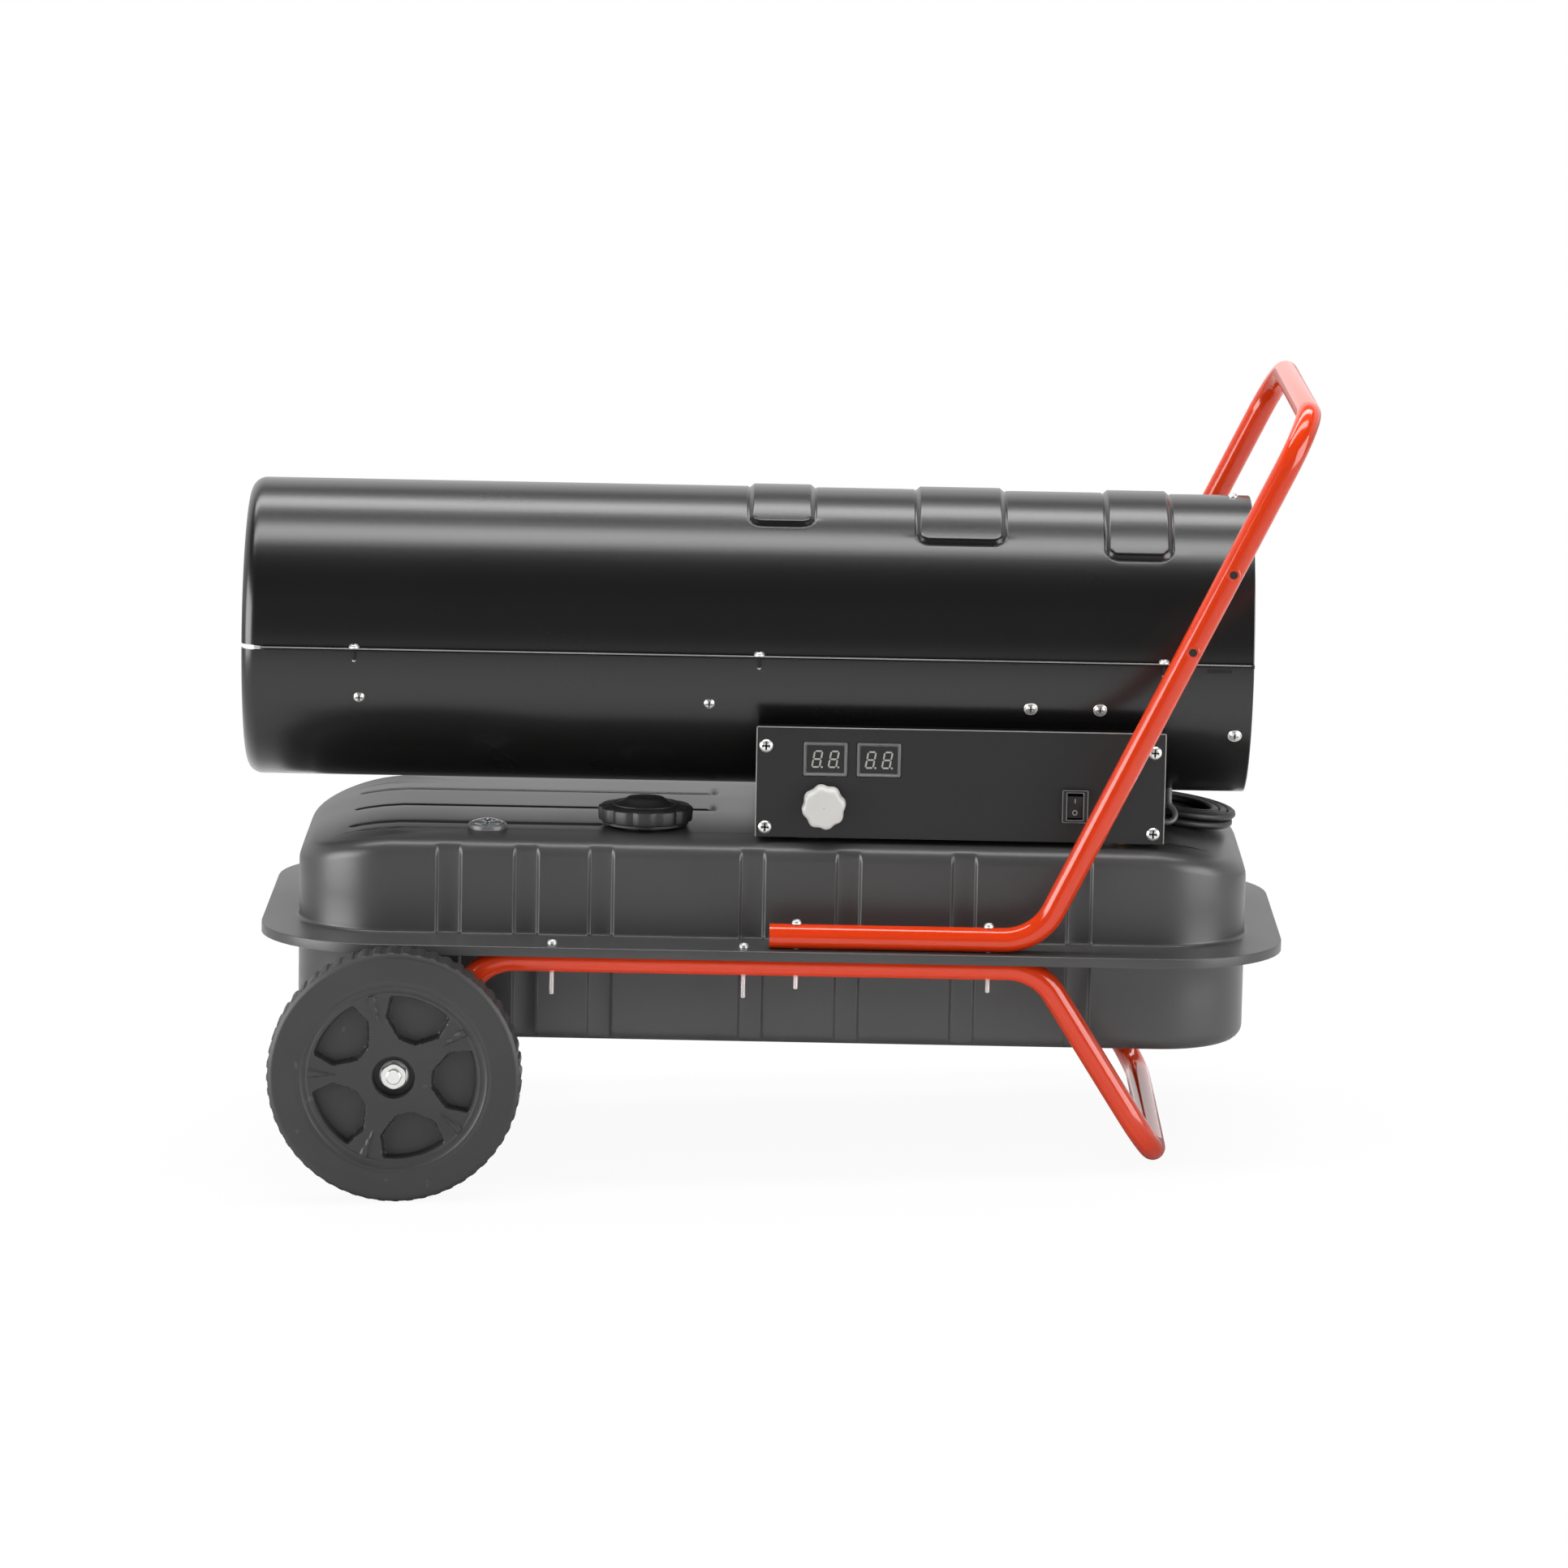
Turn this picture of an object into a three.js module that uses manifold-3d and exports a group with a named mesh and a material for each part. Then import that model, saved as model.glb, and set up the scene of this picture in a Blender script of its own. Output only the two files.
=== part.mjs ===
// Forced air heater on two wheels: an oil burner and fan in a two-shell barrel, on a pressed fuel tank,
// with a control box under the barrel, a bent-tube base frame and a bent-tube push handle.
// Units are millimetres. Everything is drawn level, on the heater's own axes: +X runs from the hot outlet to
// the handle, +Y points away from the control panel, +Z is up, and z = 0 is the weld plane of the tank's
// flange. At the end the whole heater is leaned back until its wheels and its foot both stand on z = 0.
import * as THREE from "three";
import { mergeVertices } from "three/addons/utils/BufferGeometryUtils.js";
import Module from "manifold-3d";

const wasm = await Module();
wasm.setup();

// ---------------------------------------------------------------- driving dimensions
const SEAT_GAP = 0.3; // between two pieces that touch

// tank
const TANK_LENGTH = 778;
const TANK_WIDTH = 298;
const TANK_CORNER = 73;
const TANK_TOP = 82;
const TANK_BOTTOM = -86;
const TANK_SHEET = 1;
const TANK_SHOULDER = 12;
const TANK_CROWN_DROP = 20;
const TANK_CROWN_START = 300;
const TANK_TOP_INSET = 85;
const FLANGE_LENGTH = 836;
const FLANGE_WIDTH = 402;
const FLANGE_CORNER = 100;
const FLANGE_LIP = 8;
const CHANNEL_X = [-263, -200, -139, -16, 62, 156, 250];
const CHANNEL_WIDTH = 16;
const CHANNEL_SLOPE = 3;
const CHANNEL_DEPTH = 3;

// barrel
const BARREL_RADIUS = 122.5;
const BARREL_LENGTH = 823.5;
const BARREL_FRONT = -435.5;
const BARREL_GAP = 25; // between the tank's top and the barrel
const SHELL_SHEET = 1.2;
const SHELL_LIP = 12;
const SHELL_FLANGE = 5.5;
const SHELL_NOTCH = 7; // the side flange stops short of the rolled lip
const SHELL_SIDES = 40;
const PAD_RISE = 2.2;
// each raised pad: how far its front end is before the barrel's rear, its length and how far down the
// side it reaches, in degrees above level
const PADS = [
  { back: 412, length: 52.5, down: 57 },
  { back: 276, length: 75, down: 49.5 },
  { back: 118, length: 53, down: 44.4 },
];

// burner and fan
const CHAMBER_RADIUS = 82;
const CHAMBER_LENGTH = 350;
const CHAMBER_SETBACK = 36; // behind the barrel's front
const CHAMBER_SHEET = 1.5;
const BAFFLE_RADIUS = 58;
const BURNER_RADIUS = 44;
const BURNER_LENGTH = 46;
const NOZZLE_RADIUS = 9;
const NOZZLE_LENGTH = 70;
const IGNITER_RADIUS = 4;
const IGNITER_OFFSET = 22;
const PHOTOCELL_RADIUS = 6;
const MOTOR_RADIUS = 52;
const MOTOR_LENGTH = 108;
const MOTOR_SETBACK = 76; // behind it come the pump, its filter and the guard
const SHAFT_RADIUS = 6;
const FAN_RADIUS = 104;
const FAN_HUB_RADIUS = 24;
const FAN_DEPTH = 26;
const FAN_BLADES = 5;
const FAN_PITCH = 32;
const PUMP_RADIUS = 40;
const PUMP_LENGTH = 24;
const PUMP_PLAY = 1; // round the rotor
const FILTER_LENGTH = 18;
const GUARD_WIRE = 3;
const GUARD_RINGS = 3;
const AIR_HOSE_RADIUS = 3;
const FUEL_HOSE_RADIUS = 2.4;
const HOSE_BEND = 16;
const PICKUP_X = 286;
const PICKUP_Y = -50;
const HOSE_LOOP_X = 341; // where the fuel hose turns back under the barrel's rear
const HOSE_ENTRY_BACK = 62; // it goes up into the barrel this far before the barrel's rear
const HOSE_ENTRY_Y = -38;
const FUEL_LANE_Y = -60;

// control box
const PANEL_LENGTH = 333;
const PANEL_HEIGHT = 91;
const PANEL_X = -15;
const PANEL_PROUD = 9; // in front of the barrel's side
const PANEL_SHEET = 1.5;
const BOX_SHEET = 1.5;
const BOX_FOOT = 2.2;
const BOX_SADDLE_LENGTH = 281;
const BOX_END_DEPTH = 34;
const DISPLAY_WIDTH = 36;
const DISPLAY_HEIGHT = 28;
const DISPLAY_X = [56.3, 99.8]; // centres, from the panel's left edge
const DISPLAY_Z = 64.8; // above the panel's lower edge
const DISPLAY_PROUD = 1.2;
const DISPLAY_DEPTH = 10;
const KNOB_RADIUS = 18.2;
const KNOB_HEIGHT = 15;
const KNOB_LOBES = 8;
const KNOB_X = 55.7;
const KNOB_Z = 26.4;
const SPINDLE_RADIUS = 3;
const SWITCH_WIDTH = 21;
const SWITCH_HEIGHT = 27;
const SWITCH_X = 260;
const SWITCH_Z = 30;
const ROCKER_WIDTH = 12.4;
const ROCKER_REACH = 9.2;
const ROCKER_TILT = 9; // degrees either side of level

// wheels and axle
const WHEEL_X = -301.5;
const WHEEL_Z = -100.3;
const WHEEL_RADIUS = 102.7;
const WHEEL_WIDTH = 38;
const WHEEL_SIDES = 30;
const WHEEL_POCKETS = 5;
const WHEEL_CLEARANCE = 3; // outside the tank's flange
const AXLE_RADIUS = 6;
const NUT_ACROSS_FLATS = 19;
const NUT_HEIGHT = 9;

// tubes
const TUBE_RADIUS = 10;
const TUBE_WALL = 1.5;
const TUBE_BEND = 45;
const TUBE_SIDES = 12;
const RAIL_Y = 186;
const HANDLE_START_X = -1.4;
const HANDLE_BEND_X = 215.6;
const HANDLE_LEAN = 64;
const HANDLE_TOP = 439;
const WHEEL_LEG_X = -227;
const FOOT_BEND_X = 216.4;
const FOOT_X = 315.5;
const FOOT_Z = -166.5;
const LEG_PAST_AXLE = 14;

// rail screws
const SCREW_RADIUS = 2.1;
const SCREW_HEAD_RADIUS = 4;
const SCREW_HEAD_HEIGHT = 3.6;
const SCREW_CLEARANCE = 0.4;
const HANDLE_SCREW_X = [20.4, 175.7];
const FLANGE_SCREW_X = [-177, -22];
const HANDLE_SCREW_TAIL = 10.5; // below the base rail
const FLANGE_SCREW_TAIL = 18.5;

// filler, gauge and drain
const FILLER_X = -105.3;
const FILLER_Y = -74;
const NECK_RADIUS = 24;
const NECK_WALL = 3;
const NECK_HEIGHT = 14;
const NECK_FLANGE = 32;
const CAP_RADIUS = 39;
const CAP_LOBES = 12;
const CAP_RIM = 11;
const CAP_GRIP = 8;
const CAP_WALL = 3.5;
const GASKET_HEIGHT = 2.4;
const STRAINER_DEPTH = 52;
const STRAINER_WALL = 0.8;
const GAUGE_X = -234;
const GAUGE_Y = -95;
const GAUGE_RADIUS = 16;
const GAUGE_HEIGHT = 2.9;
const FLOAT_PIVOT_DROP = 36;
const FLOAT_ARM = 145;
const FLOAT_SLOPE = 42; // degrees below level when the tank is empty
const FLOAT_RADIUS = 15;
const FLOAT_LENGTH = 40;
const DRAIN_X = 226;
const DRAIN_RADIUS = 8;

// mains cord
const CORD_DIAMETER = 6.6;
const CORD_Y = 66;
const COIL_X = 336.5;
const COIL_TURNS = 5.75;
const COIL_OUTER = 46; // middle of the outermost turn
const COIL_STEP = 7;
const COIL_SLOPE = 8; // degrees down towards the rear, as it lies on the crowned tank top
const COIL_TURN_STEPS = 24;
const COIL_SIDES = 6;
const GLAND_LENGTH = 17;
const GLAND_RADIUS = 8;
const PLUG_Y = 82;
const PLUG_RADIUS = 13;
const PLUG_FLATTENING = 0.6;
const PLUG_LENGTH = 36;
const PIN_RADIUS = 2.4;
const PIN_LENGTH = 19;

// ---------------------------------------------------------------- heights and places worked out from them
const flangeTop = SEAT_GAP / 2 + TANK_SHEET;
const railZ = -flangeTop - SEAT_GAP - TUBE_RADIUS;
const handleZ = -railZ;
const barrelZ = TANK_TOP + BARREL_GAP + BARREL_RADIUS;
const barrelRear = BARREL_FRONT + BARREL_LENGTH;
const hoseEntry = [barrelRear - HOSE_ENTRY_BACK, HOSE_ENTRY_Y];
const panelFront = -(BARREL_RADIUS + PANEL_PROUD);
const shellInner = BARREL_RADIUS - SHELL_SHEET;
const boxBottom = TANK_TOP + SEAT_GAP + BOX_FOOT;
const panelBottom = boxBottom - PANEL_SHEET;
const panelBack = panelFront + PANEL_SHEET;
const boxFront = panelBack + SEAT_GAP;
const boxX = PANEL_X + PANEL_SHEET;
const boxRear = boxX + BOX_SADDLE_LENGTH;
const wheelInner = FLANGE_WIDTH / 2 + WHEEL_CLEARANCE;
const wheelMid = wheelInner + WHEEL_WIDTH / 2;
const hubFloor = wheelInner + WHEEL_WIDTH * 0.6; // bottom of the recess that the axle nut sits in
const chamberFront = BARREL_FRONT + CHAMBER_SETBACK;
const chamberRear = chamberFront + CHAMBER_LENGTH;
const motorRear = barrelRear - MOTOR_SETBACK;
const motorFront = motorRear - MOTOR_LENGTH;
const fanX = motorFront - FAN_DEPTH - 8;
const pumpX = motorRear + SEAT_GAP;
const filterX = pumpX + PUMP_LENGTH + SEAT_GAP;
const guardX = barrelRear - 2 * GUARD_WIRE;
const neckTop = TANK_TOP + NECK_HEIGHT;
const gasketTop = neckTop + SEAT_GAP + GASKET_HEIGHT;
const gaugeFloor = TANK_TOP + SEAT_GAP;
const floatPivotZ = TANK_TOP - FLOAT_PIVOT_DROP;

// ---------------------------------------------------------------- materials
const paint = (color, roughness, metalness = 0) =>
  new THREE.MeshStandardMaterial({ color, roughness, metalness });
const BARREL_BLACK = paint(0x1e1e1e, 0.32);
const TANK_BLACK = paint(0x333333, 0.42);
const PANEL_BLACK = paint(0x242424, 0.5);
const RED_PAINT = paint(0xdd3c10, 0.25);
const ZINC = paint(0xc4c4c2, 0.35, 1);
const HOT_STEEL = paint(0x9a958c, 0.45, 1);
const BRASS = paint(0xb08d4a, 0.35, 1);
const ALUMINIUM = paint(0xb4b6b8, 0.4, 1);
const WHEEL_PLASTIC = paint(0x3c3c3c, 0.75);
const BLACK_PLASTIC = paint(0x1a1a1a, 0.5);
const GREY_PLASTIC = paint(0xc6c6c2, 0.5);
const CERAMIC = paint(0xe8e2d4, 0.5);
const RUBBER = paint(0x161616, 0.8);
const CLEAR = paint(0xdfe6e8, 0.1);
const BOARD_GREEN = paint(0x2c5a34, 0.6);

// ---------------------------------------------------------------- solids
function solid(geometry) {
  const bare = geometry.clone();
  bare.deleteAttribute("normal");
  bare.deleteAttribute("uv");
  const merged = mergeVertices(bare, 1e-4);
  const triVerts = Uint32Array.from(merged.index.array);
  const vertProperties = Float32Array.from(merged.attributes.position.array);
  const made = new wasm.Manifold(new wasm.Mesh({ numProp: 3, vertProperties, triVerts }));
  if (made.volume() > 0) return made;
  for (let i = 0; i < triVerts.length; i += 3) {
    [triVerts[i], triVerts[i + 1]] = [triVerts[i + 1], triVerts[i]];
  }
  return new wasm.Manifold(new wasm.Mesh({ numProp: 3, vertProperties, triVerts }));
}

const join = (...solids) => solids.reduce((whole, next) => whole.add(next));
const cut = (body, ...tools) => tools.reduce((rest, tool) => rest.subtract(tool), body);

function toGeometry(made) {
  const { vertProperties, triVerts } = made.getMesh();
  const geometry = new THREE.BufferGeometry();
  geometry.setAttribute("position", new THREE.BufferAttribute(vertProperties, 3));
  geometry.setIndex(new THREE.BufferAttribute(triVerts, 1));
  return geometry;
}

const X = new THREE.Vector3(1, 0, 0);
const Y = new THREE.Vector3(0, 1, 0);
const Z = new THREE.Vector3(0, 0, 1);
// an outline in (y, z), (x, z) or (x, y) is pushed along x, y or z
const PUSH = {
  x: new THREE.Matrix4().makeBasis(Y, Z, X),
  y: new THREE.Matrix4().makeBasis(X, Z, Y.clone().negate()),
  z: new THREE.Matrix4(),
};
// a profile of [radius, height] is spun about x, y or z
const SPIN = {
  x: new THREE.Matrix4().makeBasis(Y, X, Z.clone().negate()),
  y: new THREE.Matrix4(),
  z: new THREE.Matrix4().makeBasis(X, Z, Y.clone().negate()),
};

function block([x0, x1], [y0, y1], [z0, z1]) {
  const box = new THREE.BoxGeometry(x1 - x0, y1 - y0, z1 - z0);
  return solid(box.translate((x0 + x1) / 2, (y0 + y1) / 2, (z0 + z1) / 2));
}

function prism(axis, outline, from, to) {
  const shape = new THREE.Shape(outline.map(([a, b]) => new THREE.Vector2(a, b)));
  const geometry = new THREE.ExtrudeGeometry(shape, { depth: to - from, bevelEnabled: false });
  geometry.applyMatrix4(PUSH[axis]);
  const start = { x: [from, 0, 0], y: [0, to, 0], z: [0, 0, from] }[axis];
  return solid(geometry.translate(...start));
}

function lathe(axis, profile, centre, sides) {
  const points = profile.map(([r, h]) => new THREE.Vector2(r, h));
  const geometry = new THREE.LatheGeometry(points, sides);
  geometry.applyMatrix4(SPIN[axis]);
  return solid(geometry.translate(...centre));
}

// round bar between two heights on an axis through centre, with an optional bore
function bar(axis, from, to, radius, centre, sides = 16, bore = 0) {
  const profile = bore
    ? [[bore, from], [radius, from], [radius, to], [bore, to], [bore, from]]
    : [[0, from], [radius, from], [radius, to], [0, to]];
  return lathe(axis, profile, centre, sides);
}

const circle = (radius, sides) =>
  Array.from({ length: sides }, (_, i) => {
    const angle = (2 * Math.PI * i) / sides;
    return new THREE.Vector2(radius * Math.cos(angle), radius * Math.sin(angle));
  });

// A route given by its stations: an extrusion gets one ring at each of them.
class Route extends THREE.Curve {
  constructor(stations) {
    super();
    this.stations = stations;
  }
  between(u, key) {
    const place = u * (this.stations.length - 1);
    const index = Math.min(Math.floor(place + 1e-9), this.stations.length - 2);
    return this.stations[index][key].clone().lerp(this.stations[index + 1][key], place - index);
  }
  getPoint(u) {
    return this.between(u, "point");
  }
  getPointAt(u) {
    return this.between(u, "point");
  }
  getTangentAt(u) {
    return this.between(u, "tangent").normalize();
  }
}

// stations along straight runs joined by round bends
function bentStations(corners, bend, bendSteps) {
  const points = corners.map((corner) => new THREE.Vector3(...corner));
  const heading = (i) => points[i + 1].clone().sub(points[i]).normalize();
  const stations = [{ point: points[0], tangent: heading(0) }];
  for (let i = 1; i < points.length - 1; i += 1) {
    const into = heading(i - 1);
    const away = heading(i);
    const turn = into.angleTo(away);
    const inward = away.clone().addScaledVector(into, -away.dot(into)).normalize();
    const start = points[i].clone().addScaledVector(into, -bend * Math.tan(turn / 2));
    for (let step = 0; step <= bendSteps; step += 1) {
      const angle = (turn * step) / bendSteps;
      const point = start.clone().addScaledVector(into, bend * Math.sin(angle));
      point.addScaledVector(inward, bend * (1 - Math.cos(angle)));
      const tangent = into.clone().multiplyScalar(Math.cos(angle));
      tangent.addScaledVector(inward, Math.sin(angle));
      stations.push({ point, tangent });
    }
  }
  stations.push({ point: points.at(-1), tangent: heading(points.length - 2) });
  return stations;
}

function tube(stations, radius, sides, bore = 0, boreSides = sides) {
  const shape = new THREE.Shape(circle(radius, sides));
  if (bore) shape.holes.push(new THREE.Path(circle(bore, boreSides)));
  const settings = { steps: stations.length - 1, extrudePath: new Route(stations) };
  return solid(new THREE.ExtrudeGeometry(shape, settings));
}

// Skin over a stack of rings with equally many points, closed at both ends by a fan.
function loft(rings) {
  const count = rings[0].length;
  const positions = rings.flat(2);
  const middle = (ring) => [0, 1, 2].map((k) => ring.reduce((sum, p) => sum + p[k], 0) / count);
  const firstMiddle = positions.push(...middle(rings[0])) / 3 - 1;
  const lastMiddle = positions.push(...middle(rings.at(-1))) / 3 - 1;
  const faces = [];
  const lastRing = (rings.length - 1) * count;
  for (let i = 0; i < count; i += 1) {
    const next = (i + 1) % count;
    faces.push(firstMiddle, next, i, lastMiddle, lastRing + i, lastRing + next);
    for (let ring = 0; ring < rings.length - 1; ring += 1) {
      const a = ring * count + i;
      const b = ring * count + next;
      faces.push(a, b, b + count, a, b + count, a + count);
    }
  }
  const geometry = new THREE.BufferGeometry();
  geometry.setAttribute("position", new THREE.Float32BufferAttribute(positions, 3));
  geometry.setIndex(faces);
  return solid(geometry);
}

// ---------------------------------------------------------------- tank
// z of the tank's pressed top: level in the middle, falling towards both ends
function crownedTop(x) {
  const past = Math.max(0, Math.abs(x) - TANK_CROWN_START);
  const run = TANK_LENGTH / 2 - TANK_CROWN_START;
  return TANK_TOP - TANK_CROWN_DROP * (past / run) ** 2;
}

// One ring round the tank: a rectangle with round corners, its long sides stepped in at each channel.
function tankRing(length, width, corner, height, channelDepth = 0) {
  const side = CHANNEL_X.flatMap((x) => [
    [x - CHANNEL_WIDTH / 2 - CHANNEL_SLOPE, 0],
    [x - CHANNEL_WIDTH / 2, channelDepth],
    [x + CHANNEL_WIDTH / 2, channelDepth],
    [x + CHANNEL_WIDTH / 2 + CHANNEL_SLOPE, 0],
  ]);
  const arc = (cx, cy, start) =>
    [0, 1, 2, 3, 4].map((step) => {
      const angle = ((start + step * 22.5) * Math.PI) / 180;
      return [cx + corner * Math.cos(angle), cy + corner * Math.sin(angle)];
    });
  const cx = length / 2 - corner;
  const cy = width / 2 - corner;
  const plan = [
    ...side.map(([x, inward]) => [x, -width / 2 + inward]),
    ...arc(cx, -cy, -90),
    ...arc(cx, cy, 0),
    ...side.toReversed().map(([x, inward]) => [x, width / 2 - inward]),
    ...arc(-cx, cy, 90),
    ...arc(-cx, -cy, 180),
  ];
  return plan.map(([x, y]) => [x, y, typeof height === "function" ? height(x) : height]);
}

// the tank's own wall, inset by a distance
const wallRing = (inset, height, channelDepth = 0) =>
  tankRing(TANK_LENGTH - 2 * inset, TANK_WIDTH - 2 * inset, TANK_CORNER - inset, height, channelDepth);
const flangeRing = (inset, height) =>
  tankRing(FLANGE_LENGTH - 2 * inset, FLANGE_WIDTH - 2 * inset, FLANGE_CORNER - inset, height);
// a ring on the pressed top may be inset further than the corner radius
const topRing = (inset, drop) => {
  const corner = Math.max(TANK_CORNER - inset, 12);
  const z = (x) => crownedTop(x) - drop;
  return tankRing(TANK_LENGTH - 2 * inset, TANK_WIDTH - 2 * inset, corner, z);
};

const screwPlaces = [...HANDLE_SCREW_X, ...FLANGE_SCREW_X].flatMap((x) => [[x, -RAIL_Y], [x, RAIL_Y]]);
const screwHoles = () =>
  screwPlaces.map(([x, y]) =>
    bar("z", railZ - 30, handleZ + 30, SCREW_RADIUS + SCREW_CLEARANCE, [x, y, 0], 6));

function tankUpper() {
  const softening = TANK_SHOULDER * (1 - Math.SQRT1_2);
  const under = SEAT_GAP / 2;
  const lipEnd = flangeTop - FLANGE_LIP;
  const shell = loft([
    topRing(TANK_TOP_INSET, 0),
    topRing(TANK_TOP_INSET / 2, 0),
    topRing(TANK_SHOULDER, 0),
    wallRing(softening, (x) => crownedTop(x) - softening),
    wallRing(0, (x) => crownedTop(x) - TANK_SHOULDER, CHANNEL_DEPTH),
    wallRing(0, flangeTop, CHANNEL_DEPTH),
    flangeRing(0, flangeTop),
    flangeRing(0, lipEnd),
    flangeRing(TANK_SHEET, lipEnd),
    flangeRing(TANK_SHEET, under),
    wallRing(TANK_SHEET, under, CHANNEL_DEPTH),
    wallRing(TANK_SHEET, (x) => crownedTop(x) - TANK_SHOULDER - TANK_SHEET, CHANNEL_DEPTH),
    topRing(TANK_SHOULDER, TANK_SHEET),
    topRing(TANK_TOP_INSET / 2, TANK_SHEET),
    topRing(TANK_TOP_INSET, TANK_SHEET),
  ]);
  const through = [0, TANK_TOP + 10];
  const fillerHole = bar("z", ...through, NECK_RADIUS + SEAT_GAP, [FILLER_X, FILLER_Y, 0], 24);
  const gaugeHole = bar("z", ...through, GAUGE_RADIUS * 0.7 + SEAT_GAP, [GAUGE_X, GAUGE_Y, 0], 16);
  const pickupHole = bar("z", ...through, 4.5 + SEAT_GAP, [PICKUP_X, PICKUP_Y, 0], 12);
  return cut(shell, fillerHole, gaugeHole, pickupHole, ...screwHoles());
}

function tankLower() {
  const edge = TANK_SHEET + SEAT_GAP;
  const shell = loft([
    wallRing(TANK_SHOULDER + TANK_SHEET, TANK_BOTTOM + TANK_SHEET),
    wallRing(TANK_SHEET, TANK_BOTTOM + TANK_SHOULDER, CHANNEL_DEPTH),
    wallRing(TANK_SHEET, -SEAT_GAP / 2, CHANNEL_DEPTH),
    flangeRing(edge, -SEAT_GAP / 2),
    flangeRing(edge, -flangeTop),
    wallRing(0, -flangeTop, CHANNEL_DEPTH),
    wallRing(0, TANK_BOTTOM + TANK_SHOULDER, CHANNEL_DEPTH),
    wallRing(TANK_SHOULDER * (1 - Math.SQRT1_2), TANK_BOTTOM + TANK_SHOULDER * (1 - Math.SQRT1_2)),
    wallRing(TANK_SHOULDER, TANK_BOTTOM),
  ]);
  const drainHole = bar("z", TANK_BOTTOM - 10, 0, DRAIN_RADIUS + SEAT_GAP, [DRAIN_X, 0, 0], 12);
  return cut(shell, drainHole, ...screwHoles());
}

function fillerNeck() {
  const bore = NECK_RADIUS - NECK_WALL;
  const seat = TANK_TOP + SEAT_GAP;
  const profile = [
    [bore, TANK_TOP - 10],
    [NECK_RADIUS, TANK_TOP - 10],
    [NECK_RADIUS, seat],
    [NECK_FLANGE, seat],
    [NECK_FLANGE, seat + 2],
    [NECK_RADIUS, seat + 2],
    [NECK_RADIUS, neckTop],
    [bore, neckTop],
    [bore, TANK_TOP - 10],
  ];
  return lathe("z", profile, [FILLER_X, FILLER_Y, 0], 24);
}

function capGasket() {
  const centre = [FILLER_X, FILLER_Y, 0];
  const outer = NECK_RADIUS + 2.5;
  return bar("z", neckTop + SEAT_GAP, gasketTop, outer, centre, 24, NECK_RADIUS - NECK_WALL + 0.5);
}

// a disc outline with shallow finger hollows round its rim
function lobedOutline(radius, lobes, hollow, centre = [0, 0]) {
  const steps = lobes * 6;
  return Array.from({ length: steps }, (_, i) => {
    const angle = (2 * Math.PI * i) / steps;
    const r = radius - hollow * (0.5 - 0.5 * Math.cos(lobes * angle)) ** 3;
    return [centre[0] + r * Math.cos(angle), centre[1] + r * Math.sin(angle)];
  });
}

function fuelCap() {
  const centre = [FILLER_X, FILLER_Y, 0];
  const low = TANK_TOP + SEAT_GAP + 2 + 2 * SEAT_GAP;
  const ceiling = gasketTop + SEAT_GAP;
  const rim = prism("z", lobedOutline(CAP_RADIUS, CAP_LOBES, 3, centre), low, low + CAP_RIM);
  const grip = [[0, low], [CAP_RADIUS - 5, low], [CAP_RADIUS - 5, low + CAP_RIM]];
  grip.push([CAP_RADIUS - 11, low + CAP_RIM + CAP_GRIP], [0, low + CAP_RIM + CAP_GRIP]);
  const hollow = bar("z", low - 1, ceiling, NECK_RADIUS + CAP_WALL, centre, 24);
  return cut(join(rim, lathe("z", grip, centre, 24)), hollow);
}

function fuelStrainer() {
  const outer = NECK_RADIUS - NECK_WALL - SEAT_GAP;
  const top = neckTop - 0.5;
  const low = TANK_TOP - STRAINER_DEPTH;
  const profile = [
    [0, low],
    [outer, low],
    [outer, top],
    [outer - STRAINER_WALL, top],
    [outer - STRAINER_WALL, low + STRAINER_WALL],
    [0, low + STRAINER_WALL],
  ];
  return lathe("z", profile, [FILLER_X, FILLER_Y, 0], 20);
}

// a cup that lies on the tank's top, with the stem that carries the float's pivot below it
function gaugeBody() {
  const stem = GAUGE_RADIUS * 0.7;
  const cup = GAUGE_RADIUS - 3;
  const profile = [
    [0, floatPivotZ + 8],
    [stem, floatPivotZ + 8],
    [stem, gaugeFloor],
    [GAUGE_RADIUS, gaugeFloor],
    [GAUGE_RADIUS, gaugeFloor + GAUGE_HEIGHT],
    [cup, gaugeFloor + GAUGE_HEIGHT],
    [cup, gaugeFloor + 0.7],
    [0, gaugeFloor + 0.7],
  ];
  const ears = [-1, 1].map((side) =>
    block(
      [GAUGE_X + side * 5.5 - 1.5, GAUGE_X + side * 5.5 + 1.5],
      [GAUGE_Y - 5, GAUGE_Y + 5],
      [floatPivotZ - 5, floatPivotZ + 10],
    ));
  const pin = bar("x", GAUGE_X - 7, GAUGE_X + 7, 1.2, [0, GAUGE_Y, floatPivotZ], 8);
  return join(lathe("z", profile, [GAUGE_X, GAUGE_Y, 0], 24), ...ears, pin);
}

function gaugePointer() {
  const low = gaugeFloor + 0.7 + SEAT_GAP;
  const hub = bar("z", low, low + 0.5, 2.4, [GAUGE_X, GAUGE_Y, 0], 12);
  const hand = block([GAUGE_X - 0.8, GAUGE_X + 0.8], [GAUGE_Y - 10.5, GAUGE_Y + 3.5], [low, low + 0.5]);
  return join(hub, hand);
}

function gaugeLens() {
  const low = gaugeFloor + 0.7 + 2 * SEAT_GAP + 0.5;
  const top = gaugeFloor + GAUGE_HEIGHT - 0.1;
  return bar("z", low, top, GAUGE_RADIUS - 3 - SEAT_GAP, [GAUGE_X, GAUGE_Y, 0], 24);
}

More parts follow.
